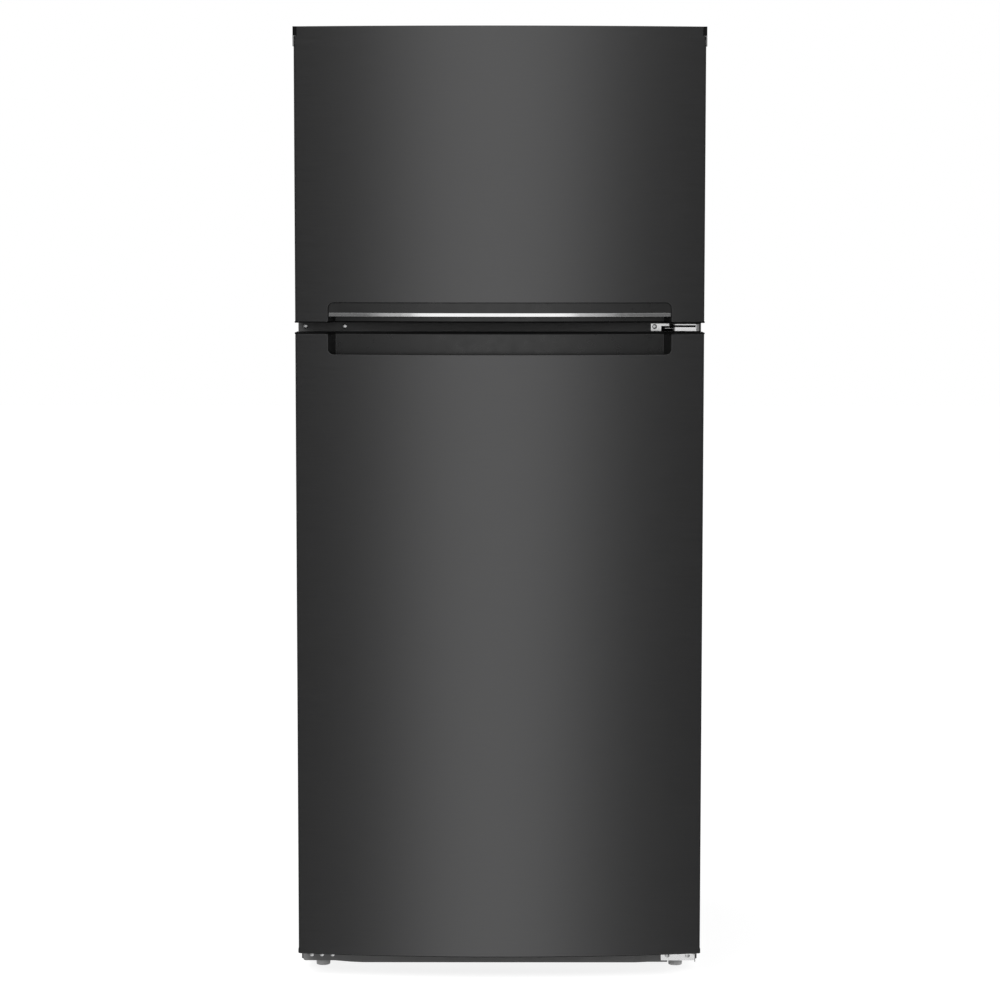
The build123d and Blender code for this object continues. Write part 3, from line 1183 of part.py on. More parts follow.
def evaporator_coil():
    """Finned tube coil between two end plates, which also hold the heater."""
    reach = EVAPORATOR_HALF + TUBE_REACH
    points = serpentine(reach, EVAPORATOR_Y, EVAPORATOR_BOTTOM + ROW_PITCH / 2, ROW_PITCH, EVAPORATOR_ROWS)
    coil = tube(points, ROW_PITCH / 2 - PAST, EVAPORATOR_TUBE)
    front, back = EVAPORATOR_Y - FIN_DEPTH / 2, EVAPORATOR_Y + FIN_DEPTH / 2
    for i in range(1, FINS + 1):
        x = -EVAPORATOR_HALF + i * 2 * EVAPORATOR_HALF / (FINS + 1)
        coil += block(x - FIN / 2, x + FIN / 2, front, back, EVAPORATOR_BOTTOM, EVAPORATOR_TOP)
    low = HEATER_Z - EVAPORATOR_TUBE - END_PLATE_MARGIN
    high = EVAPORATOR_TOP + END_PLATE_MARGIN
    plate = block(EVAPORATOR_HALF - END_PLATE, EVAPORATOR_HALF, front, CAVITY_BACK - FIT, low, high)
    return coil + mirrored(plate) - heater_rod(EVAPORATOR_TUBE + FIT)


def defrost_heater():
    return heater_rod(EVAPORATOR_TUBE)


def knob(x, y, z):
    """Dial on a panel whose front is at y, with its shaft through the panel."""
    dial = rod_y(x, z, y - KNOB_HEIGHT, y - RUN, KNOB_RADIUS)
    dial = fillet(dial.edges().group_by(Axis.Y)[0], KNOB_ROUND)
    half, tip = KNOB_GRIP_HALF, KNOB_RADIUS - KNOB_ROUND
    grip = block(x - half, x + half, y - KNOB_HEIGHT - KNOB_GRIP, y - KNOB_HEIGHT + PAST, z - tip, z + tip)
    return dial + grip + rod_y(x, z, y - KNOB_ROUND, y + KNOB_SHAFT, SHAFT_RADIUS)


def freezer_knob():
    x, z = FREEZER_KNOB
    return knob(x, EVAPORATOR_FRONT, z)


# Inside the fridge
def control_box():
    box = wide(CONTROL_HALF, CONTROL_FRONT, CONTROL_BACK, CONTROL_BOTTOM, FRIDGE_CEILING)
    box = fillet(box.faces().sort_by(Axis.Z)[0].edges(), CONTROL_ROUND)
    wall = CONTROL_WALL
    front, back = CONTROL_FRONT + wall, CONTROL_BACK - wall
    box -= wide(CONTROL_HALF - wall, front, back, CONTROL_BOTTOM + wall, FRIDGE_CEILING + PAST)
    box -= block(*LENS, CONTROL_BOTTOM - PAST, CONTROL_BOTTOM + wall + PAST)
    return box - rod_y(*FRIDGE_KNOB, CONTROL_FRONT - PAST, front + PAST, SHAFT_RADIUS + PIN_CLEAR)


def light_lens():
    x0, x1, y0, y1 = LENS
    top = CONTROL_BOTTOM + CONTROL_WALL
    lens = block(x0 + FIT, x1 - FIT, y0 + FIT, y1 - FIT, CONTROL_BOTTOM - LENS_SHEET, top)
    edge = LENS_FLANGE
    return lens + block(x0 - edge, x1 + edge, y0 - edge, y1 + edge, top, top + LENS_SHEET)


def fridge_knob():
    x, z = FRIDGE_KNOB
    return knob(x, CONTROL_FRONT, z)


def shelf_pane(top, grow):
    """Glass of a shelf, or its seat if grown."""
    inset = SHELF_BORDER - GLASS_LAP - grow
    return wide(SHELF_HALF - inset, SHELF_FRONT + inset, SHELF_BACK - inset, top - GLASS, top + grow)


def shelf_frame(top):
    """Plastic rim of a shelf, with a step that the glass lies in."""
    z0 = top - SHELF_HEIGHT
    rim = wide(SHELF_HALF, SHELF_FRONT, SHELF_BACK, z0, top)
    rim = fillet(rim.edges().filter_by(Axis.X).group_by(Axis.Y)[0], SHELF_ROUND)
    hole = SHELF_BORDER
    rim -= wide(SHELF_HALF - hole, SHELF_FRONT + hole, SHELF_BACK - hole, z0 - PAST, top + PAST)
    return rim - shelf_pane(top, FIT)


def shelf_glass():
    return Compound([shelf_pane(top, 0).solid() for top in SHELF_TOPS + [COVER_TOP]])


def crisper(side):
    """Vegetable drawer with a finger pull on its front."""
    x0, x1 = sorted((side * CRISPER_INNER, side * CRISPER_OUTER))
    box = tray(x0, x1, CRISPER_FRONT, CRISPER_BACK, CRISPER_BOTTOM, CRISPER_TOP, CRISPER_WALL, BIN_CORNER)
    middle = (x0 + x1) / 2
    front, back = CRISPER_FRONT - PULL_DEPTH, CRISPER_FRONT + CRISPER_WALL / 2
    high = CRISPER_TOP - PULL_DROP
    pull = block(middle - PULL_HALF, middle + PULL_HALF, front, back, high - PULL_SHEET, high)
    return box + fillet(pull.edges().filter_by(Axis.Z).group_by(Axis.Y)[0], PULL_CORNER)


# Feet, rollers and machinery
def levelling_foot(side):
    x = side * FOOT_X
    pad = Pos(x, FOOT_Y, FOOT_HEIGHT / 2) * Cone(FOOT_RADIUS - FOOT_TAPER, FOOT_RADIUS, FOOT_HEIGHT)
    return pad + rod_z(x, FOOT_Y, FOOT_HEIGHT - PAST, DECK_TOP - FIT, STEM_RADIUS)


def rear_roller(side):
    x = side * ROLLER_X
    half = ROLLER_WIDTH / 2
    wheel = rod_x(ROLLER_Y, ROLLER_RADIUS, x - half, x + half, ROLLER_RADIUS)
    wheel = fillet(wheel.edges().filter_by(GeomType.CIRCLE), ROLLER_ROUND)
    reach = half + RUN + EAR_SHEET + AXLE_END
    return wheel + rod_x(ROLLER_Y, ROLLER_RADIUS, x - reach, x + reach, AXLE_RADIUS)


def compressor():
    """Domed can with a welded seam, base plate, relay box, outlet stub and feed tube."""
    x, y = COMPRESSOR_X, COMPRESSOR_Y
    base_top = MOUNT_TOP + BASE_SHEET
    can = rod_z(x, y, base_top, COMPRESSOR_TOP, COMPRESSOR_RADIUS)
    can = fillet(can.edges().group_by(Axis.Z)[-1], COMPRESSOR_DOME)
    seam_low, seam_high = COMPRESSOR_SEAM - SEAM_HALF, COMPRESSOR_SEAM + SEAM_HALF
    can += rod_z(x, y, seam_low, seam_high, COMPRESSOR_RADIUS + SEAM_PROUD)
    half_x, half_y = MOUNT_X + BASE_MARGIN, MOUNT_Y + BASE_MARGIN
    base = block(x - half_x, x + half_x, y - half_y, y + half_y, MOUNT_TOP, base_top)
    base = fillet(base.edges().filter_by(Axis.Z), BASE_CORNER)
    side = x - COMPRESSOR_RADIUS
    low = MOUNT_TOP + RELAY_RISE
    relay = block(side - RELAY_PROUD, side + RELAY_ROOT, y - RELAY_HALF, y + RELAY_HALF, low, seam_low)
    relay = fillet(relay.edges().filter_by(Axis.X), RELAY_ROUND)
    corner = (COIL_HALF, COIL_Y, STUB_Z)
    points = [(x, y, STUB_Z), (COIL_HALF, y, STUB_Z), corner, (COIL_HALF, COIL_Y, COIL_START)]
    feed = tube(points, COIL_BEND, COIL_RADIUS)
    return can + base + relay + rod_x(y, STUB_Z, x, STUB_END, STUB_RADIUS) + feed


def compressor_mounts():
    mounts = []
    for dx in (-MOUNT_X, MOUNT_X):
        for dy in (-MOUNT_Y, MOUNT_Y):
            mount = rod_z(COMPRESSOR_X + dx, COMPRESSOR_Y + dy, DECK_TOP, MOUNT_TOP, MOUNT_RADIUS)
            mounts.append(fillet(mount.edges().filter_by(GeomType.CIRCLE), MOUNT_ROUND).solid())
    return Compound(mounts)


def drain_pan():
    x0, x1 = COMPRESSOR_X - PAN_HALF_WIDTH, COMPRESSOR_X + PAN_HALF_WIDTH
    y0, y1 = COMPRESSOR_Y - PAN_HALF_DEPTH, COMPRESSOR_Y + PAN_HALF_DEPTH
    return tray(x0, x1, y0, y1, COMPRESSOR_TOP, PAN_TOP, PAN_WALL, PAN_CORNER)


def condenser_coil():
    """Tube from the compressor's feed, up the back to and fro, and into the back panel."""
    climb = serpentine(COIL_HALF, COIL_Y, COIL_BOTTOM, COIL_PITCH, COIL_PASSES)
    points = [(COIL_HALF, COIL_Y, COIL_START)] + climb + [(climb[-1][0], Y_BACK, COIL_TOP)]
    bends = [COIL_BEND] * (len(points) - 3) + [COIL_END_BEND]
    coil = tube(points, bends, COIL_RADIUS)
    x0 = COIL_HALF - RAIL_INSET
    x1 = x0 + RAIL_BAR
    low, high = COIL_BOTTOM - RAIL_REACH, COIL_TOP + RAIL_REACH
    rail = block(x0, x1, Y_REAR - RAIL_SHEET, Y_REAR, low, high)
    for z in (low, high - RAIL_BAR):
        rail += block(x0, x1, Y_BACK, Y_REAR, z, z + RAIL_BAR)
    return coil + mirrored(rail)


# Every piece by its name
PIECES = {
    "cabinet_shell": cabinet_shell,
    "back_panel": back_panel,
    "base_deck": base_deck,
    "cord_gland": cord_gland,
    "cabinet_foam": cabinet_foam,
    "freezer_liner": freezer_liner,
    "fridge_liner": fridge_liner,
    "mullion_rail": mullion_rail,
    "base_grille": base_grille,
    "top_hinge": top_hinge,
    "top_hinge_cover": top_hinge_cover,
    "centre_hinge": centre_hinge,
    "bottom_hinge": bottom_hinge,
    "cabinet_screws": cabinet_screws,
    "freezer_shelf": freezer_shelf,
    "evaporator_cover": evaporator_cover,
    "evaporator_coil": evaporator_coil,
    "defrost_heater": defrost_heater,
    "evaporator_fan_motor": evaporator_fan_motor,
    "evaporator_fan": evaporator_fan,
    "freezer_knob": freezer_knob,
    "control_box": control_box,
    "light_lens": light_lens,
    "fridge_knob": fridge_knob,
    "light_switch": light_switch,
    "lower_shelf_frame": lambda: shelf_frame(SHELF_TOPS[0]),
    "upper_shelf_frame": lambda: shelf_frame(SHELF_TOPS[1]),
    "crisper_cover_frame": lambda: shelf_frame(COVER_TOP),
    "shelf_glass": shelf_glass,
    "left_crisper": lambda: crisper(-1),
    "right_crisper": lambda: crisper(1),
    "left_foot": lambda: levelling_foot(-1),
    "right_foot": lambda: levelling_foot(1),
    "left_roller": lambda: rear_roller(-1),
    "right_roller": lambda: rear_roller(1),
    "compressor": compressor,
    "compressor_mounts": compressor_mounts,
    "drain_pan": drain_pan,
    "condenser_coil": condenser_coil,
    "freezer_door_skin": freezer_door_skin,
    "freezer_door_core": freezer_door_core,
    "freezer_door_liner": freezer_door_liner,
    "freezer_door_gasket": freezer_door_gasket,
    "freezer_door_top_cap": freezer_door_top_cap,
    "freezer_door_bottom_cap": freezer_door_bottom_cap,
    "freezer_handle": freezer_handle,
    "freezer_handle_trim": freezer_handle_trim,
    "freezer_door_bins": freezer_door_bins,
    "freezer_door_bushes": freezer_door_bushes,
    "fridge_door_skin": fridge_door_skin,
    "fridge_door_core": fridge_door_core,
    "fridge_door_liner": fridge_door_liner,
    "fridge_door_gasket": fridge_door_gasket,
    "fridge_door_top_cap": fridge_door_top_cap,
    "fridge_door_bottom_cap": fridge_door_bottom_cap,
    "fridge_handle": fridge_handle,
    "fridge_door_bushes": fridge_door_bushes,
    "lower_door_bin": lambda: door_bin(FRIDGE_DIKE, FRIDGE_BIN_FLOORS[0], BIN_HEIGHT),
    "middle_door_bin": lambda: door_bin(FRIDGE_DIKE, FRIDGE_BIN_FLOORS[1], BIN_HEIGHT),
    "upper_door_bin": lambda: door_bin(FRIDGE_DIKE, FRIDGE_BIN_FLOORS[2], BIN_HEIGHT),
}

os.makedirs("parts", exist_ok=True)
for name, make in PIECES.items():
    export_step(make(), f"parts/{name}.step")
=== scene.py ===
"""Looks of the top freezer refrigerator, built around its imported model."""

import json
import math

import bmesh
import bpy
from mathutils import Matrix, Vector


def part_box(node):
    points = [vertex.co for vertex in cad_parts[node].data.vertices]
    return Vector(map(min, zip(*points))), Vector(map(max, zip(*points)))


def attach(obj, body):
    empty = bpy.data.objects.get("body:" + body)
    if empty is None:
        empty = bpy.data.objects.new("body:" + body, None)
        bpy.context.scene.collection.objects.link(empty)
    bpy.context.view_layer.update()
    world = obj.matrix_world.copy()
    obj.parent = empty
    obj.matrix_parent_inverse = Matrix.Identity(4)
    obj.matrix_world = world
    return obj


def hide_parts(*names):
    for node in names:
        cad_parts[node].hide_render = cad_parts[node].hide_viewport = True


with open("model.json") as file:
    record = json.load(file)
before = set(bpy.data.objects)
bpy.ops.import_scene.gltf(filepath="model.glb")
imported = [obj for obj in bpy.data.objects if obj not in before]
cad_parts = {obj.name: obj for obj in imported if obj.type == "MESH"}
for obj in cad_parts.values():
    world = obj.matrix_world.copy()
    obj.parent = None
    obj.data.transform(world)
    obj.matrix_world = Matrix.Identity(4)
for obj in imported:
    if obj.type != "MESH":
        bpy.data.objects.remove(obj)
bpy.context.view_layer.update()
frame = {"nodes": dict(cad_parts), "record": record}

# The object's sizes are in millimetres, the studio's in metres and the depths of bumps in microns
MM = 0.001
MICRON = 0.000001

# Camera, from the photograph
CAMERA_PLACE = (0, -5.568, 1.358)
CAMERA_PITCH = 5.55
CAMERA_ROLL = 0.04
CAMERA_LENS = 108.91
CAMERA_SHIFT = (0.0004, -0.0002)
CAMERA_REACH = 100
SENSOR = 36

# Studio
DIFFUSE_SKY = 0.62
FLOOR_SIZE = 30
FLOOR_ALBEDO = 0.32
FLOOR_GLOW = 0.82
KEY_PLACE = (-2.6, -4.2, 3.6)
KEY_POWER = 190
FILL_PLACE = (3.0, -3.6, 2.4)
FILL_POWER = 90
LAMP_AIM = (0, 0, 0.9)
LAMP_SIZE = 2.4
CARD_DISTANCE = 6.9  # dark cards behind the camera, from the middle of the floor
CARD_HEIGHT = 4  # above and below the floor, which reflections don't see
CARD_BANDS = ((1.11, 1.66, 0.4), (1.66, 6, 0.138))  # from, to and glow
CARD_SHIFT = -0.08  # both sides' cards to the left
CARD_LEAN = 0.06  # inwards, going down
SIDE_CARD_X = 1.4
SIDE_CARD_Y = (-1.7, 4)
SIDE_CARD_GLOW = 0.2

# Finishes
NOISE_LOW = 0.3  # most of a noise lies between these two
NOISE_HIGH = 0.7
BLEED_REACH = 0.002  # of light inside pale plastic, in metres
EVEN = (1, 1, 1)
DOOR_STEEL = (0.118, 0.118, 0.119, 1)  # linear light, as are the next two
CLEAR_PLASTIC = (0.93, 0.96, 0.97, 1)
SHELF_GLASS = (0.9, 0.97, 0.94, 1)
FINISHES = {}


def linear(value):
    """Linear light of one sRGB channel, 0 to 255."""
    share = value / 255
    return share / 12.92 if share <= 0.04045 else ((share + 0.055) / 1.055) ** 2.4


def grey(value):
    return (linear(value),) * 3 + (1,)


def rgb(red, green, blue):
    return linear(red), linear(green), linear(blue), 1


def tinted(colour, factor):
    return tuple(channel * factor for channel in colour[:3]) + (1,)


class Finish:
    """One procedural material, kept under its slot's name, with short calls for its nodes."""

    def __init__(self, name):
        material = bpy.data.materials.new(name)
        material.use_nodes = True
        FINISHES[name] = material
        self.tree = material.node_tree
        self.shader = self.tree.nodes["Principled BSDF"]
        self.place = self.node("ShaderNodeTexCoord").outputs["Object"]

    def node(self, kind):
        return self.tree.nodes.new(kind)

    def link(self, source, target):
        self.tree.links.new(source, target)

    def set(self, **values):
        for name, value in values.items():
            self.shader.inputs[name.replace("_", " ")].default_value = value

    def noise(self, scale, detail, stretch=EVEN):
        """Noise in object space; scale is per metre, and stretch slows it along an axis."""
        mapping = self.node("ShaderNodeMapping")
        mapping.inputs["Scale"].default_value = [1 / s for s in stretch]
        self.link(self.place, mapping.inputs["Vector"])
        texture = self.node("ShaderNodeTexNoise")
        texture.inputs["Scale"].default_value = scale
        texture.inputs["Detail"].default_value = detail
        self.link(mapping.outputs["Vector"], texture.inputs["Vector"])
        return texture.outputs["Fac"]

    def cells(self, scale):
        """One random value for each of many small crystals."""
        texture = self.node("ShaderNodeTexVoronoi")
        texture.inputs["Scale"].default_value = scale
        self.link(self.place, texture.inputs["Vector"])
        return texture.outputs["Color"]

    def colour(self, value, base, low, high, start=NOISE_LOW, end=NOISE_HIGH):
        """Base colour that runs between a darker and a lighter tint."""
        ramp = self.node("ShaderNodeValToRGB")
        ramp.color_ramp.elements[0].position = start
        ramp.color_ramp.elements[0].color = tinted(base, low)
        ramp.color_ramp.elements[1].position = end
        ramp.color_ramp.elements[1].color = tinted(base, high)
        self.link(value, ramp.inputs["Fac"])
        self.link(ramp.outputs["Color"], self.shader.inputs["Base Color"])

    def roughness(self, value, base, below, above):
        """Roughness that wanders below and above a base value."""
        spread = self.node("ShaderNodeMapRange")
        spread.inputs["From Min"].default_value = NOISE_LOW
        spread.inputs["From Max"].default_value = NOISE_HIGH
        spread.inputs["To Min"].default_value = base - below
        spread.inputs["To Max"].default_value = base + above
        self.link(value, spread.inputs["Value"])
        self.link(spread.outputs["Result"], self.shader.inputs["Roughness"])

    def bump(self, height, depth, strength=1.0):
        bump = self.node("ShaderNodeBump")
        bump.inputs["Distance"].default_value = depth * MICRON
        bump.inputs["Strength"].default_value = strength
        self.link(height, bump.inputs["Height"])
        self.link(bump.outputs["Normal"], self.shader.inputs["Normal"])


def brushed_metal(name, colour, roughness, along=EVEN, grain=1200, shift=0.06, bump=0.3):
    """Metal with a fine brushed grain; along stretches the grain."""
    finish = Finish(name)
    brushing = finish.noise(grain, detail=2, stretch=along)
    finish.colour(brushing, colour, low=1 - shift, high=1 + shift)
    finish.roughness(brushing, roughness, below=0.025, above=0.025)
    finish.bump(brushing, depth=10, strength=bump)
    finish.set(Metallic=1.0)


def galvanised(name, colour, roughness):
    """Zinc coated sheet with its spangle of flat crystals."""
    finish = Finish(name)
    spangle = finish.cells(scale=75)
    finish.colour(spangle, colour, low=0.86, high=1.06, start=0.1, end=0.9)
    finish.roughness(spangle, roughness, below=0.06, above=0.06)
    finish.bump(finish.noise(scale=400, detail=2), depth=10)
    finish.set(Metallic=1.0)


def paint(name, colour, roughness, pebble=700, depth=40):
    """Sprayed paint with a pebbled skin and faint cloudiness."""
    finish = Finish(name)
    cloud = finish.noise(scale=9, detail=3)
    finish.colour(cloud, colour, low=0.94, high=1.06)
    finish.roughness(finish.noise(pebble / 3, detail=2), roughness, below=0.05, above=0.05)
    finish.bump(finish.noise(pebble, detail=2), depth)


def moulded(name, colour, roughness, grain=2200, depth=10, specular=0.5, bleed=0.0, shift=0.05):
    """Injection moulded plastic with a fine even grain."""
    finish = Finish(name)
    cloud = finish.noise(scale=14, detail=4)
    finish.colour(cloud, colour, low=1 - shift, high=1 + shift)
    finish.roughness(finish.noise(scale=60, detail=4), roughness, below=0.04, above=0.04)
    finish.bump(finish.noise(grain, detail=2), depth)
    finish.set(Specular_IOR_Level=specular, Subsurface_Weight=bleed, Subsurface_Scale=BLEED_REACH)


def clear(name, colour, roughness, ior):
    """Clear plastic or glass with faint wipe marks."""
    finish = Finish(name)
    wipe = finish.noise(scale=25, detail=5, stretch=(3, 1, 1))
    finish.colour(wipe, colour, low=0.97, high=1)
    finish.roughness(wipe, roughness, below=0, above=0.06)
    finish.set(Transmission_Weight=1.0, IOR=ior)


brushed_metal("door_steel", DOOR_STEEL, 0.3, along=(60, 60, 1), shift=0.02, bump=0.1)
paint("cabinet_paint", grey(66), 0.42, pebble=280, depth=120)
paint("mullion_paint", grey(74), 0.45, depth=20)
moulded("grille_plastic", grey(134), 0.5)
galvanised("zinc_sheet", grey(196), 0.42)
brushed_metal("hinge_steel", grey(252), 0.28, along=(20, 1, 1))
brushed_metal("screw_steel", grey(205), 0.24, grain=3000)
moulded("foam", rgb(214, 190, 140), 0.9, grain=500, depth=200, specular=0.2)
moulded("liner_white", rgb(232, 234, 234), 0.32, bleed=0.05, shift=0.012)
clear("clear_plastic", CLEAR_PLASTIC, 0.05, ior=1.49)
clear("shelf_glass", SHELF_GLASS, 0.01, ior=1.5)
moulded("lamp_lens", rgb(236, 236, 228), 0.3, bleed=0.3)
moulded("gasket_rubber", grey(52), 0.62, grain=1400, depth=20, specular=0.35)
moulded("cap_plastic", grey(14), 0.75, specular=0.12)
moulded("handle_plastic", grey(18), 0.3, depth=3, specular=0.72)
brushed_metal("chrome_trim", grey(246), 0.1, grain=80, shift=0.02, bump=0.05)
# black; also the finish of the centre hinge's insert, which is painted shade
moulded("bush_nylon", grey(14), 0.75, specular=0.12)
moulded("knob_plastic", grey(205), 0.35)
moulded("foot_plastic", grey(246), 0.5)
moulded("roller_plastic", grey(60), 0.5)
paint("compressor_paint", grey(36), 0.34, pebble=300, depth=50)
moulded("mount_rubber", grey(34), 0.7, grain=900, depth=30, specular=0.3)
paint("coil_paint", grey(24), 0.4, pebble=900, depth=20)
brushed_metal("evaporator_aluminium", grey(215), 0.35, grain=200)
brushed_metal("heater_tube", grey(150), 0.4, along=(30, 1, 1), grain=600)
moulded("pan_plastic", grey(72), 0.5)
moulded("wire_coat", rgb(236, 237, 236), 0.3, shift=0.015)
moulded("motor_plastic", grey(58), 0.5)
moulded("fan_plastic", grey(120), 0.45)

BODY_OF = {node: body for body, nodes in frame["record"]["behaviour"]["bodies"].items() for node in nodes}
SLOT_OF = {}
for node, shape in frame["nodes"].items():
    SLOT_OF[node] = shape.material_slots[0].material.name.split(".")[0]
    for slot in shape.material_slots:
        slot.material = FINISHES[SLOT_OF[node]]


# Pieces
WELD = 1e-6
FLAT = math.radians(0.1)
CORNER = math.radians(30)
BOX_FACES = [(0, 1, 3, 2), (4, 6, 7, 5), (0, 4, 5, 1), (2, 3, 7, 6), (0, 2, 6, 4), (1, 5, 7, 3)]


def add_piece(name, mesh, body, slot, *nodes):
    """A new piece that rides on a body, in the finish of a slot, and stands for CAD nodes."""
    piece = bpy.data.objects.new(name, mesh)
    bpy.context.scene.collection.objects.link(piece)
    mesh.materials.append(FINISHES[slot])
    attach(piece, body)
    if nodes:
        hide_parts(*nodes)
    return piece


def even_normals(piece):
    """Let the shading of a piece follow its large faces."""
    piece.modifiers.new("normals", "WEIGHTED_NORMAL").keep_sharp = True


def shade(mesh, angle=35):
    """Smooth shading that keeps edges sharper than the angle."""
    mesh.polygons.foreach_set("use_smooth", [True] * len(mesh.polygons))
    mesh.set_sharp_from_angle(angle=math.radians(angle))
    return mesh


def mesh_from(work, name):
    """Mesh of what was worked on, which is then let go."""
    mesh = bpy.data.meshes.new(name)
    work.to_mesh(mesh)
    work.free()
    return mesh


def mesh_of(name, points, faces):
    """Mesh from points in millimetres, with its faces turned outwards."""
    mesh = bpy.data.meshes.new(name)
    mesh.from_pydata([Vector(point) * MM for point in points], [], faces)
    work = bmesh.new()
    work.from_mesh(mesh)
    bmesh.ops.recalc_face_normals(work, faces=work.faces)
    work.to_mesh(mesh)
    work.free()
    return mesh


def box_mesh(name, low, high):
    points = [(x, y, z) for x in (low[0], high[0]) for y in (low[1], high[1]) for z in (low[2], high[2])]
    return mesh_of(name, points, BOX_FACES)


def soften(work, edges, radius, clamp=True, segments=2):
    """Round some edges of a mesh that is being worked on."""
    bmesh.ops.bevel(
        work, geom=edges, offset=radius * MM, offset_type="OFFSET", segments=segments, profile=0.5,
        affect="EDGES", clamp_overlap=clamp,
    )


def combined(mesh, operation, others):
    """Mesh with other meshes joined to it or cut out of it."""
    work = bpy.data.objects.new("work", mesh)
    bpy.context.scene.collection.objects.link(work)
    tools = []
    for other in others:
        tool = bpy.data.objects.new("tool", other)
        bpy.context.scene.collection.objects.link(tool)
        modifier = work.modifiers.new("combine", "BOOLEAN")
        modifier.operation = operation
        modifier.object = tool
        tools.append(tool)
    bpy.context.view_layer.update()
    result = bpy.data.meshes.new_from_object(work.evaluated_get(bpy.context.evaluated_depsgraph_get()))
    for done in (work, *tools):
        bpy.data.objects.remove(done)
    return result


# Rounded copies of CAD nodes, under the radius of their edges
ROUNDED = {
    0.2: (
        "freezer_door_top_cap", "freezer_door_bottom_cap", "fridge_door_top_cap", "fridge_door_bottom_cap",
    ),
    0.5: (
        "freezer_handle_trim", "mullion_rail", "centre_hinge", "top_hinge", "bottom_hinge",
        "freezer_door_bins", "lower_door_bin", "middle_door_bin", "upper_door_bin", "evaporator_cover",
        "evaporator_fan_motor", "back_panel", "base_deck", "shelf_glass", "light_switch",
    ),
    1: (
        "control_box", "left_crisper", "right_crisper", "drain_pan", "light_lens",
        "freezer_door_liner", "fridge_door_liner", "left_foot", "right_foot", "cord_gland",
    ),
    1.2: ("freezer_handle", "fridge_handle"),
    1.5: ("lower_shelf_frame", "upper_shelf_frame", "crisper_cover_frame"),
}
LINER_CORNER = 7
LINER_EDGE = 100  # shortest liner edge that gets that corner
LINER_WALL = 0.12  # smallest wall beside such an edge, in square metres
SHELL_CORNER = 2
SHELL_EDGE = 300  # shortest cabinet edge that gets that corner


def rounded(node, radius, chosen, clamp=True, segments=2):
    """Copy of a CAD node with its chosen sharp edges rounded, which stands for the node."""
    work = bmesh.new()
    work.from_mesh(frame["nodes"][node].data)
    bmesh.ops.remove_doubles(work, verts=work.verts, dist=WELD)
    bmesh.ops.dissolve_limit(work, angle_limit=FLAT, verts=work.verts, edges=work.edges)
    sharp = [edge for edge in work.edges if edge.is_manifold and edge.calc_face_angle() > CORNER]
    edges = [edge for edge in sharp if chosen(edge)]
    soften(work, edges, radius, clamp, segments)
    name = f"{node}_rounded"
    mesh = shade(mesh_from(work, name))
    even_normals(add_piece(name, mesh, BODY_OF[node], SLOT_OF[node], node))


def every_edge(edge):
    return True


def cavity_edge(edge):
    """Long inside edge between two walls of a liner."""
    smaller = min(face.calc_area() for face in edge.link_faces)
    return not edge.is_convex and edge.calc_length() > LINER_EDGE * MM and smaller > LINER_WALL


def outside_edge(edge):
    """Long edge of the cabinet between two of its outer faces."""
    return edge.is_convex and edge.calc_length() > SHELL_EDGE * MM and outermost(edge)


def outermost(edge):
    """Whether the cabinet's top meets its front at an edge, or one of them meets a side."""
    low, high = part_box("cabinet_shell")
    middle = (edge.verts[0].co + edge.verts[1].co) / 2
    on_side = abs(abs(middle.x) - high.x) < WELD
    on_top = abs(middle.z - high.z) < WELD
    on_front = abs(middle.y - low.y) < WELD
    return on_side and (on_top or on_front) or on_top and on_front


for radius, nodes in ROUNDED.items():
    for node in nodes:
        rounded(node, radius, every_edge)
for node in ("freezer_liner", "fridge_liner"):
    rounded(node, LINER_CORNER, cavity_edge, clamp=False, segments=4)
rounded("cabinet_shell", SHELL_CORNER, outside_edge, clamp=False, segments=3)


# Door skins; the window is the handle's opening in one, and the lip the freezer door's upper end
BOW_RADIUS = 2175.1
BOW_FRONT = -360
DOOR_HALF = 354
DOOR_CORNER = 4
DOOR_BACK = -280
SKIN = 1
SKIN_EDGE = 0.8
COLUMN_WIDTH = 8
CORNER_STEPS = 8
WINDOW_HALF = 297
WINDOW_CORNER = 10
FREEZER_WINDOW_TOP = 1192.5
FRIDGE_WINDOW_BOTTOM = 1102
LIP_HALF = 349
SIDE_TOP = 1648  # of the freezer door's sides, beside the lip


def skin_columns():
    """Plan of a door's skin from its middle to its right side: x, y and the way outwards."""
    corner_x = DOOR_HALF - DOOR_CORNER
    centre_y = BOW_FRONT + BOW_RADIUS
    corner_turn = math.asin(corner_x / (BOW_RADIUS - DOOR_CORNER))
    corner_y = centre_y - (BOW_RADIUS - DOOR_CORNER) * math.cos(corner_turn)
    arc_start = WINDOW_HALF - WINDOW_CORNER
    count = round(arc_start / COLUMN_WIDTH)
    places = [arc_start * i / count for i in range(count + 1)]
    quarter = [math.pi / 2 * (i + 1) / CORNER_STEPS for i in range(CORNER_STEPS)]
    places += [arc_start + WINDOW_CORNER * math.sin(turn) for turn in quarter]
    count = round((LIP_HALF - WINDOW_HALF) / COLUMN_WIDTH)
    places += [WINDOW_HALF + (LIP_HALF - WINDOW_HALF) * (i + 1) / count for i in range(count)]
    columns = []
    for x in places:
        turn = math.asin(x / BOW_RADIUS)
        columns.append((x, centre_y - BOW_RADIUS * math.cos(turn), math.sin(turn), -math.cos(turn)))
    for i in range(CORNER_STEPS + 1):
        turn = corner_turn + (math.pi / 2 - corner_turn) * i / CORNER_STEPS
        out_x, out_y = math.sin(turn), -math.cos(turn)
        columns.append((corner_x + DOOR_CORNER * out_x, corner_y + DOOR_CORNER * out_y, out_x, out_y))
    columns.append((DOOR_HALF, DOOR_BACK, 1, 0))
    return columns


def window_edge(x):
    """Height of the window's rounded corner above the start of its arc."""
    past = max(0, abs(x) - (WINDOW_HALF - WINDOW_CORNER))
    return math.sqrt(max(0, WINDOW_CORNER**2 - past**2))


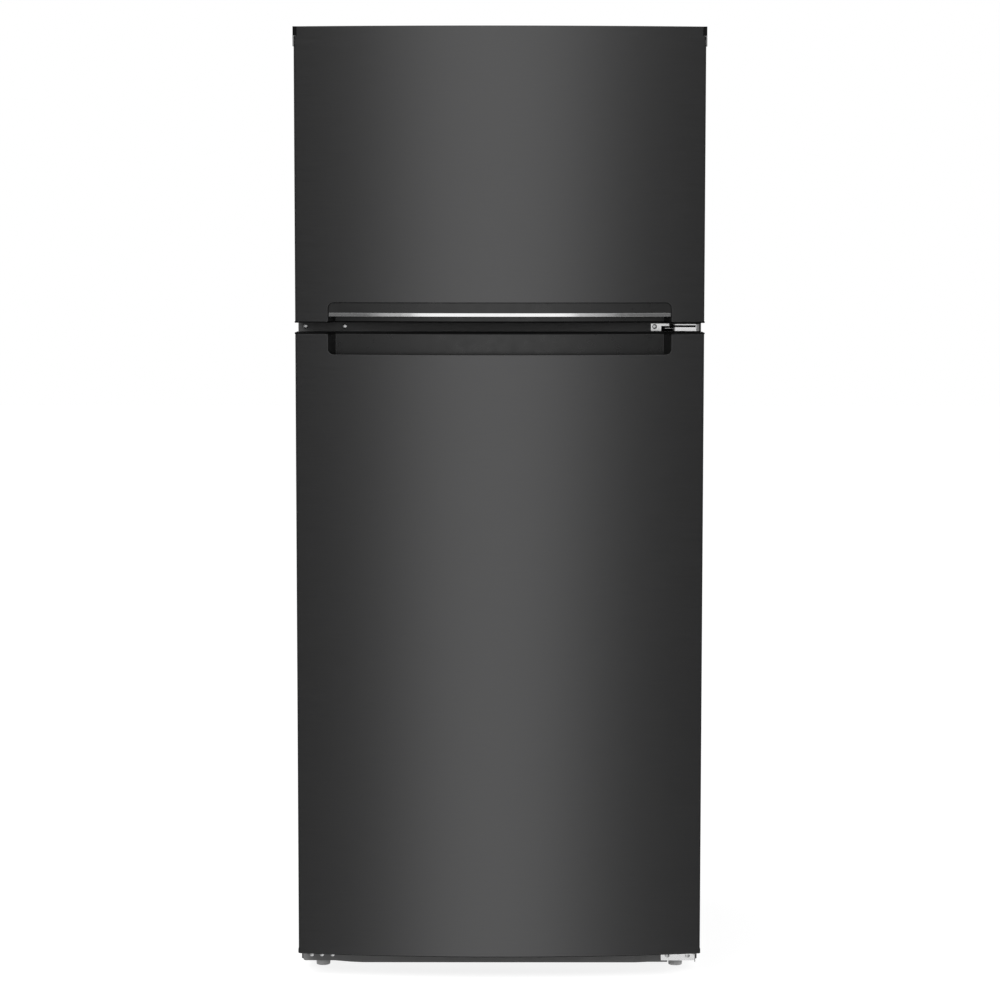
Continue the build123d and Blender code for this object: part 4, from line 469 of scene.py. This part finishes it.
def freezer_span(x, middle):
    """Lower and upper end of the freezer door's skin at x, in the strip round middle."""
    low, high = (corner.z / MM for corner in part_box("freezer_door_skin"))
    if middle < WINDOW_HALF:
        low = FREEZER_WINDOW_TOP - WINDOW_CORNER + window_edge(x)
    return low, high if middle < LIP_HALF else SIDE_TOP


def fridge_span(x, middle):
    """The same for the fridge door's skin."""
    low, high = (corner.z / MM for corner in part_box("fridge_door_skin"))
    if middle < WINDOW_HALF:
        high = FRIDGE_WINDOW_BOTTOM + WINDOW_CORNER - window_edge(x)
    return low, high


def skin_strips(columns, span):
    """Both ends of each upright strip between two columns, and the heights that each column needs."""
    strips = []
    heights = [set() for _ in columns]
    for i in range(len(columns) - 1):
        x0, x1 = columns[i][0], columns[i + 1][0]
        middle = abs(x0 + x1) / 2
        ends = span(abs(x0), middle), span(abs(x1), middle)
        strips.append(ends)
        heights[i].update(ends[0])
        heights[i + 1].update(ends[1])
    return strips, heights


def skin(door, span):
    """Bowed sheet of a door with its side returns and handle window, rounded at its edges."""
    half = skin_columns()
    columns = [(-x, y, -out_x, out_y) for x, y, out_x, out_y in reversed(half[1:])] + half
    strips, heights = skin_strips(columns, span)
    work = bmesh.new()
    outer, inner = {}, {}
    for i, (x, y, out_x, out_y) in enumerate(columns):
        for z in heights[i]:
            outer[i, z] = work.verts.new(Vector((x, y, z)) * MM)
            inner[i, z] = work.verts.new(Vector((x - SKIN * out_x, y - SKIN * out_y, z)) * MM)
    for layer in (outer, inner):
        for i, ends in enumerate(strips):
            left = [layer[i, z] for z in sorted(heights[i]) if ends[0][0] <= z <= ends[0][1]]
            right = [layer[i + 1, z] for z in sorted(heights[i + 1]) if ends[1][0] <= z <= ends[1][1]]
            work.faces.new(right + left[::-1] if layer is outer else left + right[::-1])
    partner = {vert: inner[key] for key, vert in outer.items()}
    rim = [edge for edge in work.edges if edge.is_boundary and edge.verts[0] in partner]
    for edge in rim:
        first, second = edge.verts
        work.faces.new((first, second, partner[second], partner[first]))
    bmesh.ops.recalc_face_normals(work, faces=work.faces)
    soften(work, rim, SKIN_EDGE)
    name = f"{door}_sheet"
    mesh = shade(mesh_from(work, name))
    even_normals(add_piece(name, mesh, door, "door_steel", f"{door}_skin"))


skin("freezer_door", freezer_span)
skin("fridge_door", fridge_span)


# Screws
SCREW_RING_STEPS = 32
SCREW_DOME_STEPS = 8
SCREW_HEAD = 4.2
SCREW_HEAD_HEIGHT = 2.2
SCREW_RIM = 1.6
SCREW_SHANK = 1.9
CROSS_LENGTH = 3.6
CROSS_WIDTH = 0.9
CROSS_DEPTH = 1.5
CROSS_PAST = 1  # how far its cutter stands out of the head


def lathe(name, profile, steps):
    """Solid of revolution about z, from a profile of radius and height that starts and ends on the axis."""
    points = [(0, 0, profile[0][1])]
    faces = []
    for radius, height in profile[1:-1]:
        for i in range(steps):
            turn = 2 * math.pi * i / steps
            points.append((radius * math.cos(turn), radius * math.sin(turn), height))
    points.append((0, 0, profile[-1][1]))
    rings = len(profile) - 2
    for i in range(steps):
        after = (i + 1) % steps
        faces.append((0, 1 + after, 1 + i))
        for ring in range(rings - 1):
            here, there = 1 + ring * steps, 1 + (ring + 1) * steps
            faces.append((here + i, here + after, there + after, there + i))
        last = 1 + (rings - 1) * steps
        faces.append((last + i, last + after, len(points) - 1))
    return mesh_of(name, points, faces)


def screw_mesh(length):
    """Domed screw with a cross recess, its head upwards and its tip at z = 0."""
    neck = length - SCREW_HEAD_HEIGHT
    profile = [(0, 0), (SCREW_SHANK, 0), (SCREW_SHANK, neck), (SCREW_HEAD, neck)]
    dome = SCREW_HEAD_HEIGHT - SCREW_RIM
    for i in range(SCREW_DOME_STEPS):
        turn = math.pi / 2 * i / SCREW_DOME_STEPS
        profile.append((SCREW_HEAD * math.cos(turn), neck + SCREW_RIM + dome * math.sin(turn)))
    profile.append((0, length))
    low, high = length - CROSS_DEPTH, length + CROSS_PAST
    arm, slim = CROSS_LENGTH / 2, CROSS_WIDTH / 2
    arms = [
        box_mesh("arm", (-arm, -slim, low), (arm, slim, high)),
        box_mesh("arm", (-slim, -arm, low), (slim, arm, high)),
    ]
    return combined(lathe("screw", profile, SCREW_RING_STEPS), "DIFFERENCE", arms)


def islands(mesh):
    """Lowest and highest corners of each separate part of a mesh, in millimetres."""
    work = bmesh.new()
    work.from_mesh(mesh)
    bmesh.ops.remove_doubles(work, verts=work.verts, dist=WELD)
    left = set(work.verts)
    boxes = []
    while left:
        group, ahead = set(), [left.pop()]
        while ahead:
            vert = ahead.pop()
            group.add(vert)
            near = {edge.other_vert(vert) for edge in vert.link_edges} & left
            left -= near
            ahead.extend(near)
        places = [vert.co / MM for vert in group]
        boxes.append([[pick(place[axis] for place in places) for axis in range(3)] for pick in (min, max)])
    work.free()
    return sorted(boxes)


def screws():
    """All the cabinet's screws: those whose box is long in z point down, the others backwards."""
    whole = bmesh.new()
    for low, high in islands(frame["nodes"]["cabinet_screws"].data):
        size = [high[axis] - low[axis] for axis in range(3)]
        middle = [(low[axis] + high[axis]) / 2 for axis in range(3)]
        upright = abs(size[0] - size[1]) < abs(size[0] - size[2])
        mesh = screw_mesh(size[2] if upright else size[1])
        if upright:
            mesh.transform(Matrix.Translation(Vector((middle[0], middle[1], low[2])) * MM))
        else:
            turned = Matrix.Rotation(math.pi / 2, 4, "X")
            mesh.transform(Matrix.Translation(Vector((middle[0], high[1], middle[2])) * MM) @ turned)
        whole.from_mesh(mesh)
    mesh = shade(mesh_from(whole, "screws"))
    add_piece("screws", mesh, "cabinet", "screw_steel", "cabinet_screws")


screws()


# Centre hinge: black insert that fills the arm's slot and goes round its link, as boxes; it is painted
# shade, a dark piece put where the slot and link lie in shade
SHADE_INSERT_BOXES = (
    ((300, -315.8, 1148.7), (339.5, -277.9, 1152.1)),  # in the slot
    ((300, -280, 1145.6), (301.8, -271.9, 1152.1)),  # back from the slot
    ((282.7, -273.4, 1145.6), (301.8, -271.9, 1149)),  # in front of the link
    ((282.7, -273.4, 1140.2), (284, -269.4, 1149)),  # beside the plate
    ((282.7, -271.4, 1140.2), (301.8, -269.4, 1144.7)),  # below the link
)
SHADE_INSERT_EDGE = 0.2


def hinge_shade_insert():
    """The black insert of painted shade, as one piece with its edges rounded."""
    first, *others = (box_mesh("box", low, high) for low, high in SHADE_INSERT_BOXES)
    mesh = combined(first, "UNION", others)
    work = bmesh.new()
    work.from_mesh(mesh)
    bmesh.ops.dissolve_limit(work, angle_limit=FLAT, verts=work.verts, edges=work.edges)
    soften(work, [edge for edge in work.edges if edge.calc_face_angle() > CORNER], SHADE_INSERT_EDGE)
    work.to_mesh(mesh)
    work.free()
    # painted shade: a black piece in the hinge's shaded slot and round its link
    add_piece("hinge_shade_insert", shade(mesh), "cabinet", "bush_nylon")


hinge_shade_insert()


# Door seals: closed profile across the ring, as (inwards from the ring's outside, back from the door)
SEAL_PROFILE = [
    (0, 0.4), (0.6, 0), (23.4, 0), (24, 0.4), (23, 2.6), (20.5, 3.6), (19.2, 4.8), (18.6, 6.2),
    (19.2, 7.4), (19.6, 10.2), (18.8, 11.4), (17.4, 11.7), (13.5, 11.7), (12, 11.2), (10.5, 11.7),
    (6.6, 11.7), (5.2, 11.4), (4.4, 10.2), (4.8, 7.4), (5.4, 6.2), (4.8, 4.8), (3.5, 3.6), (1, 2.6),
]
SEAL_SHARP = 50


def seal(door):
    """Magnetic door seal: one bellows profile, mitred round the door."""
    node = f"{door}_gasket"
    low, high = (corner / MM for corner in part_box(node))
    points, faces = [], []
    for x_end, z_end in ((0, 0), (1, 0), (1, 1), (0, 1)):
        for inset, depth in SEAL_PROFILE:
            x = high.x - inset if x_end else low.x + inset
            z = high.z - inset if z_end else low.z + inset
            points.append((x, low.y + depth, z))
    count = len(SEAL_PROFILE)
    for corner in range(4):
        here, there = corner * count, (corner + 1) % 4 * count
        for i in range(count):
            after = (i + 1) % count
            faces.append((here + i, here + after, there + after, there + i))
    name = f"{door}_seal"
    mesh = shade(mesh_of(name, points, faces), SEAL_SHARP)
    add_piece(name, mesh, door, "gasket_rubber", node)


for door in ("freezer_door", "fridge_door"):
    seal(door)


# Condenser wires
WIRE_RADIUS = 0.7
WIRE_SIDES = 8
WIRE_COUNT = 72
WIRE_PAST = 14  # below the tube's lowest run
WIRE_SHORT = 7  # below the condenser's top
WIRE_SINK = 0.1  # into the tube
WIRE_SHARP = 60
TUBE_RADIUS = 2.5
TUBE_LOW = 325  # middle of the lowest run
TUBE_FROM_BACK = 4  # middle of the tube


def wire_rows():
    """Thin upright wires welded to the front and back of the condenser's tube."""
    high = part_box("condenser_coil")[1] / MM
    tube_y = high.y - TUBE_FROM_BACK
    half = high.x - TUBE_RADIUS
    bottom, top = TUBE_LOW - WIRE_PAST, high.z - WIRE_SHORT
    points, faces = [], []
    for i in range(WIRE_COUNT):
        x = -half + 2 * half * (i + 0.5) / WIRE_COUNT
        side = 1 if i % 2 else -1
        y = tube_y + side * (TUBE_RADIUS + WIRE_RADIUS - WIRE_SINK)
        first = len(points)
        for z in (bottom, top):
            for k in range(WIRE_SIDES):
                turn = 2 * math.pi * k / WIRE_SIDES
                points.append((x + WIRE_RADIUS * math.cos(turn), y + WIRE_RADIUS * math.sin(turn), z))
        ring = list(range(WIRE_SIDES))
        faces.append([first + k for k in reversed(ring)])
        faces.append([first + WIRE_SIDES + k for k in ring])
        for k in ring:
            after = (k + 1) % WIRE_SIDES
            faces.append((first + k, first + after, first + WIRE_SIDES + after, first + WIRE_SIDES + k))
    mesh = shade(mesh_of("condenser_wires", points, faces), WIRE_SHARP)
    add_piece("condenser_wires", mesh, "cabinet", "coil_paint")


wire_rows()


# Camera, light and floor
def add_camera():
    """Camera at the photograph's viewing angle."""
    camera = bpy.data.objects.new("camera", bpy.data.cameras.new("camera"))
    camera.data.sensor_width = SENSOR
    camera.data.lens = CAMERA_LENS
    camera.data.shift_x, camera.data.shift_y = CAMERA_SHIFT
    camera.location = CAMERA_PLACE
    camera.rotation_mode = "ZYX"
    camera.rotation_euler = (math.radians(90 - CAMERA_PITCH), 0, math.radians(CAMERA_ROLL))
    camera.data.clip_end = CAMERA_REACH
    bpy.context.scene.collection.objects.link(camera)
    bpy.context.scene.camera = camera


def seen_directly(tree):
    """1 for rays from the camera, in reflections and through glass, 0 for light on other surfaces."""
    rays = tree.nodes.new("ShaderNodeLightPath")
    seen = rays.outputs["Is Camera Ray"]
    for name in ("Is Glossy Ray", "Is Transmission Ray"):
        either = tree.nodes.new("ShaderNodeMath")
        either.operation = "MAXIMUM"
        tree.links.new(seen, either.inputs[0])
        tree.links.new(rays.outputs[name], either.inputs[1])
        seen = either.outputs["Value"]
    return seen


def add_world():
    """White background that lights the object a little less than it shows."""
    world = bpy.data.worlds.new("studio")
    bpy.context.scene.world = world
    world.use_nodes = True
    tree = world.node_tree
    background = tree.nodes["Background"]
    background.inputs["Color"].default_value = (1, 1, 1, 1)
    strength = tree.nodes.new("ShaderNodeMapRange")
    strength.inputs["To Min"].default_value = DIFFUSE_SKY
    strength.inputs["To Max"].default_value = 1
    tree.links.new(seen_directly(tree), strength.inputs["Value"])
    tree.links.new(strength.outputs["Result"], background.inputs["Strength"])


def plain_sheet(name, corners):
    """A flat piece of the studio, from corners in metres."""
    mesh = bpy.data.meshes.new(name)
    mesh.from_pydata(corners, [], [tuple(range(len(corners)))])
    sheet = bpy.data.objects.new(name, mesh)
    bpy.context.scene.collection.objects.link(sheet)
    return sheet


def bare_material(name):
    """Material with nothing but its output."""
    material = bpy.data.materials.new(name)
    material.use_nodes = True
    material.node_tree.nodes.remove(material.node_tree.nodes["Principled BSDF"])
    return material


def add_floor():
    """Pale floor that keeps the object's shadow, with a glow that only shows and doesn't light."""
    half = FLOOR_SIZE / 2
    floor = plain_sheet("floor", [(-half, -half, 0), (half, -half, 0), (half, half, 0), (-half, half, 0)])
    material = bare_material("floor")
    tree = material.node_tree
    diffuse = tree.nodes.new("ShaderNodeBsdfDiffuse")
    diffuse.inputs["Color"].default_value = (FLOOR_ALBEDO,) * 3 + (1,)
    glow = tree.nodes.new("ShaderNodeEmission")
    strength = tree.nodes.new("ShaderNodeMath")
    strength.operation = "MULTIPLY"
    strength.inputs[1].default_value = FLOOR_GLOW
    tree.links.new(seen_directly(tree), strength.inputs[0])
    tree.links.new(strength.outputs["Value"], glow.inputs["Strength"])
    both = tree.nodes.new("ShaderNodeAddShader")
    tree.links.new(diffuse.outputs["BSDF"], both.inputs[0])
    tree.links.new(glow.outputs["Emission"], both.inputs[1])
    tree.links.new(both.outputs["Shader"], tree.nodes["Material Output"].inputs["Surface"])
    floor.data.materials.append(material)
    floor.visible_glossy = False


def add_card(name, corners, glow):
    """A dark studio card that only shows in reflections."""
    material = bare_material(name)
    tree = material.node_tree
    light = tree.nodes.new("ShaderNodeEmission")
    light.inputs["Strength"].default_value = glow
    tree.links.new(light.outputs["Emission"], tree.nodes["Material Output"].inputs["Surface"])
    card = plain_sheet(name, corners)
    card.data.materials.append(material)
    card.visible_camera = False
    card.visible_diffuse = False
    card.visible_shadow = False
    card.visible_transmission = False


def add_cards():
    """Cards behind the camera that shade the doors towards their sides, and cards beside the object."""
    low, high = -CARD_HEIGHT, CARD_HEIGHT
    lean = CARD_LEAN * CARD_HEIGHT
    for side, name in ((-1, "left"), (1, "right")):
        for i, (near, far, glow) in enumerate(CARD_BANDS):
            upright = [(near - lean, low), (far - lean, low), (far + lean, high), (near + lean, high)]
            corners = [(CARD_SHIFT + side * x, -CARD_DISTANCE, z) for x, z in upright]
            add_card(f"{name}_card_{i}", corners, glow)
        near, far = SIDE_CARD_Y
        upright = [(near, low), (far, low), (far, high), (near, high)]
        add_card(f"{name}_side_card", [(side * SIDE_CARD_X, y, z) for y, z in upright], SIDE_CARD_GLOW)


def add_lamp(name, place, power):
    """Soft lamp that reflections don't see."""
    lamp = bpy.data.objects.new(name, bpy.data.lights.new(name, "AREA"))
    lamp.data.size = LAMP_SIZE
    lamp.data.energy = power
    lamp.location = place
    lamp.rotation_euler = (Vector(LAMP_AIM) - Vector(place)).to_track_quat("-Z", "Y").to_euler()
    lamp.visible_glossy = False
    bpy.context.scene.collection.objects.link(lamp)


add_camera()
add_world()
add_floor()
add_cards()
add_lamp("key", KEY_PLACE, KEY_POWER)
add_lamp("fill", FILL_PLACE, FILL_POWER)
bpy.context.scene.view_settings.view_transform = "Standard"
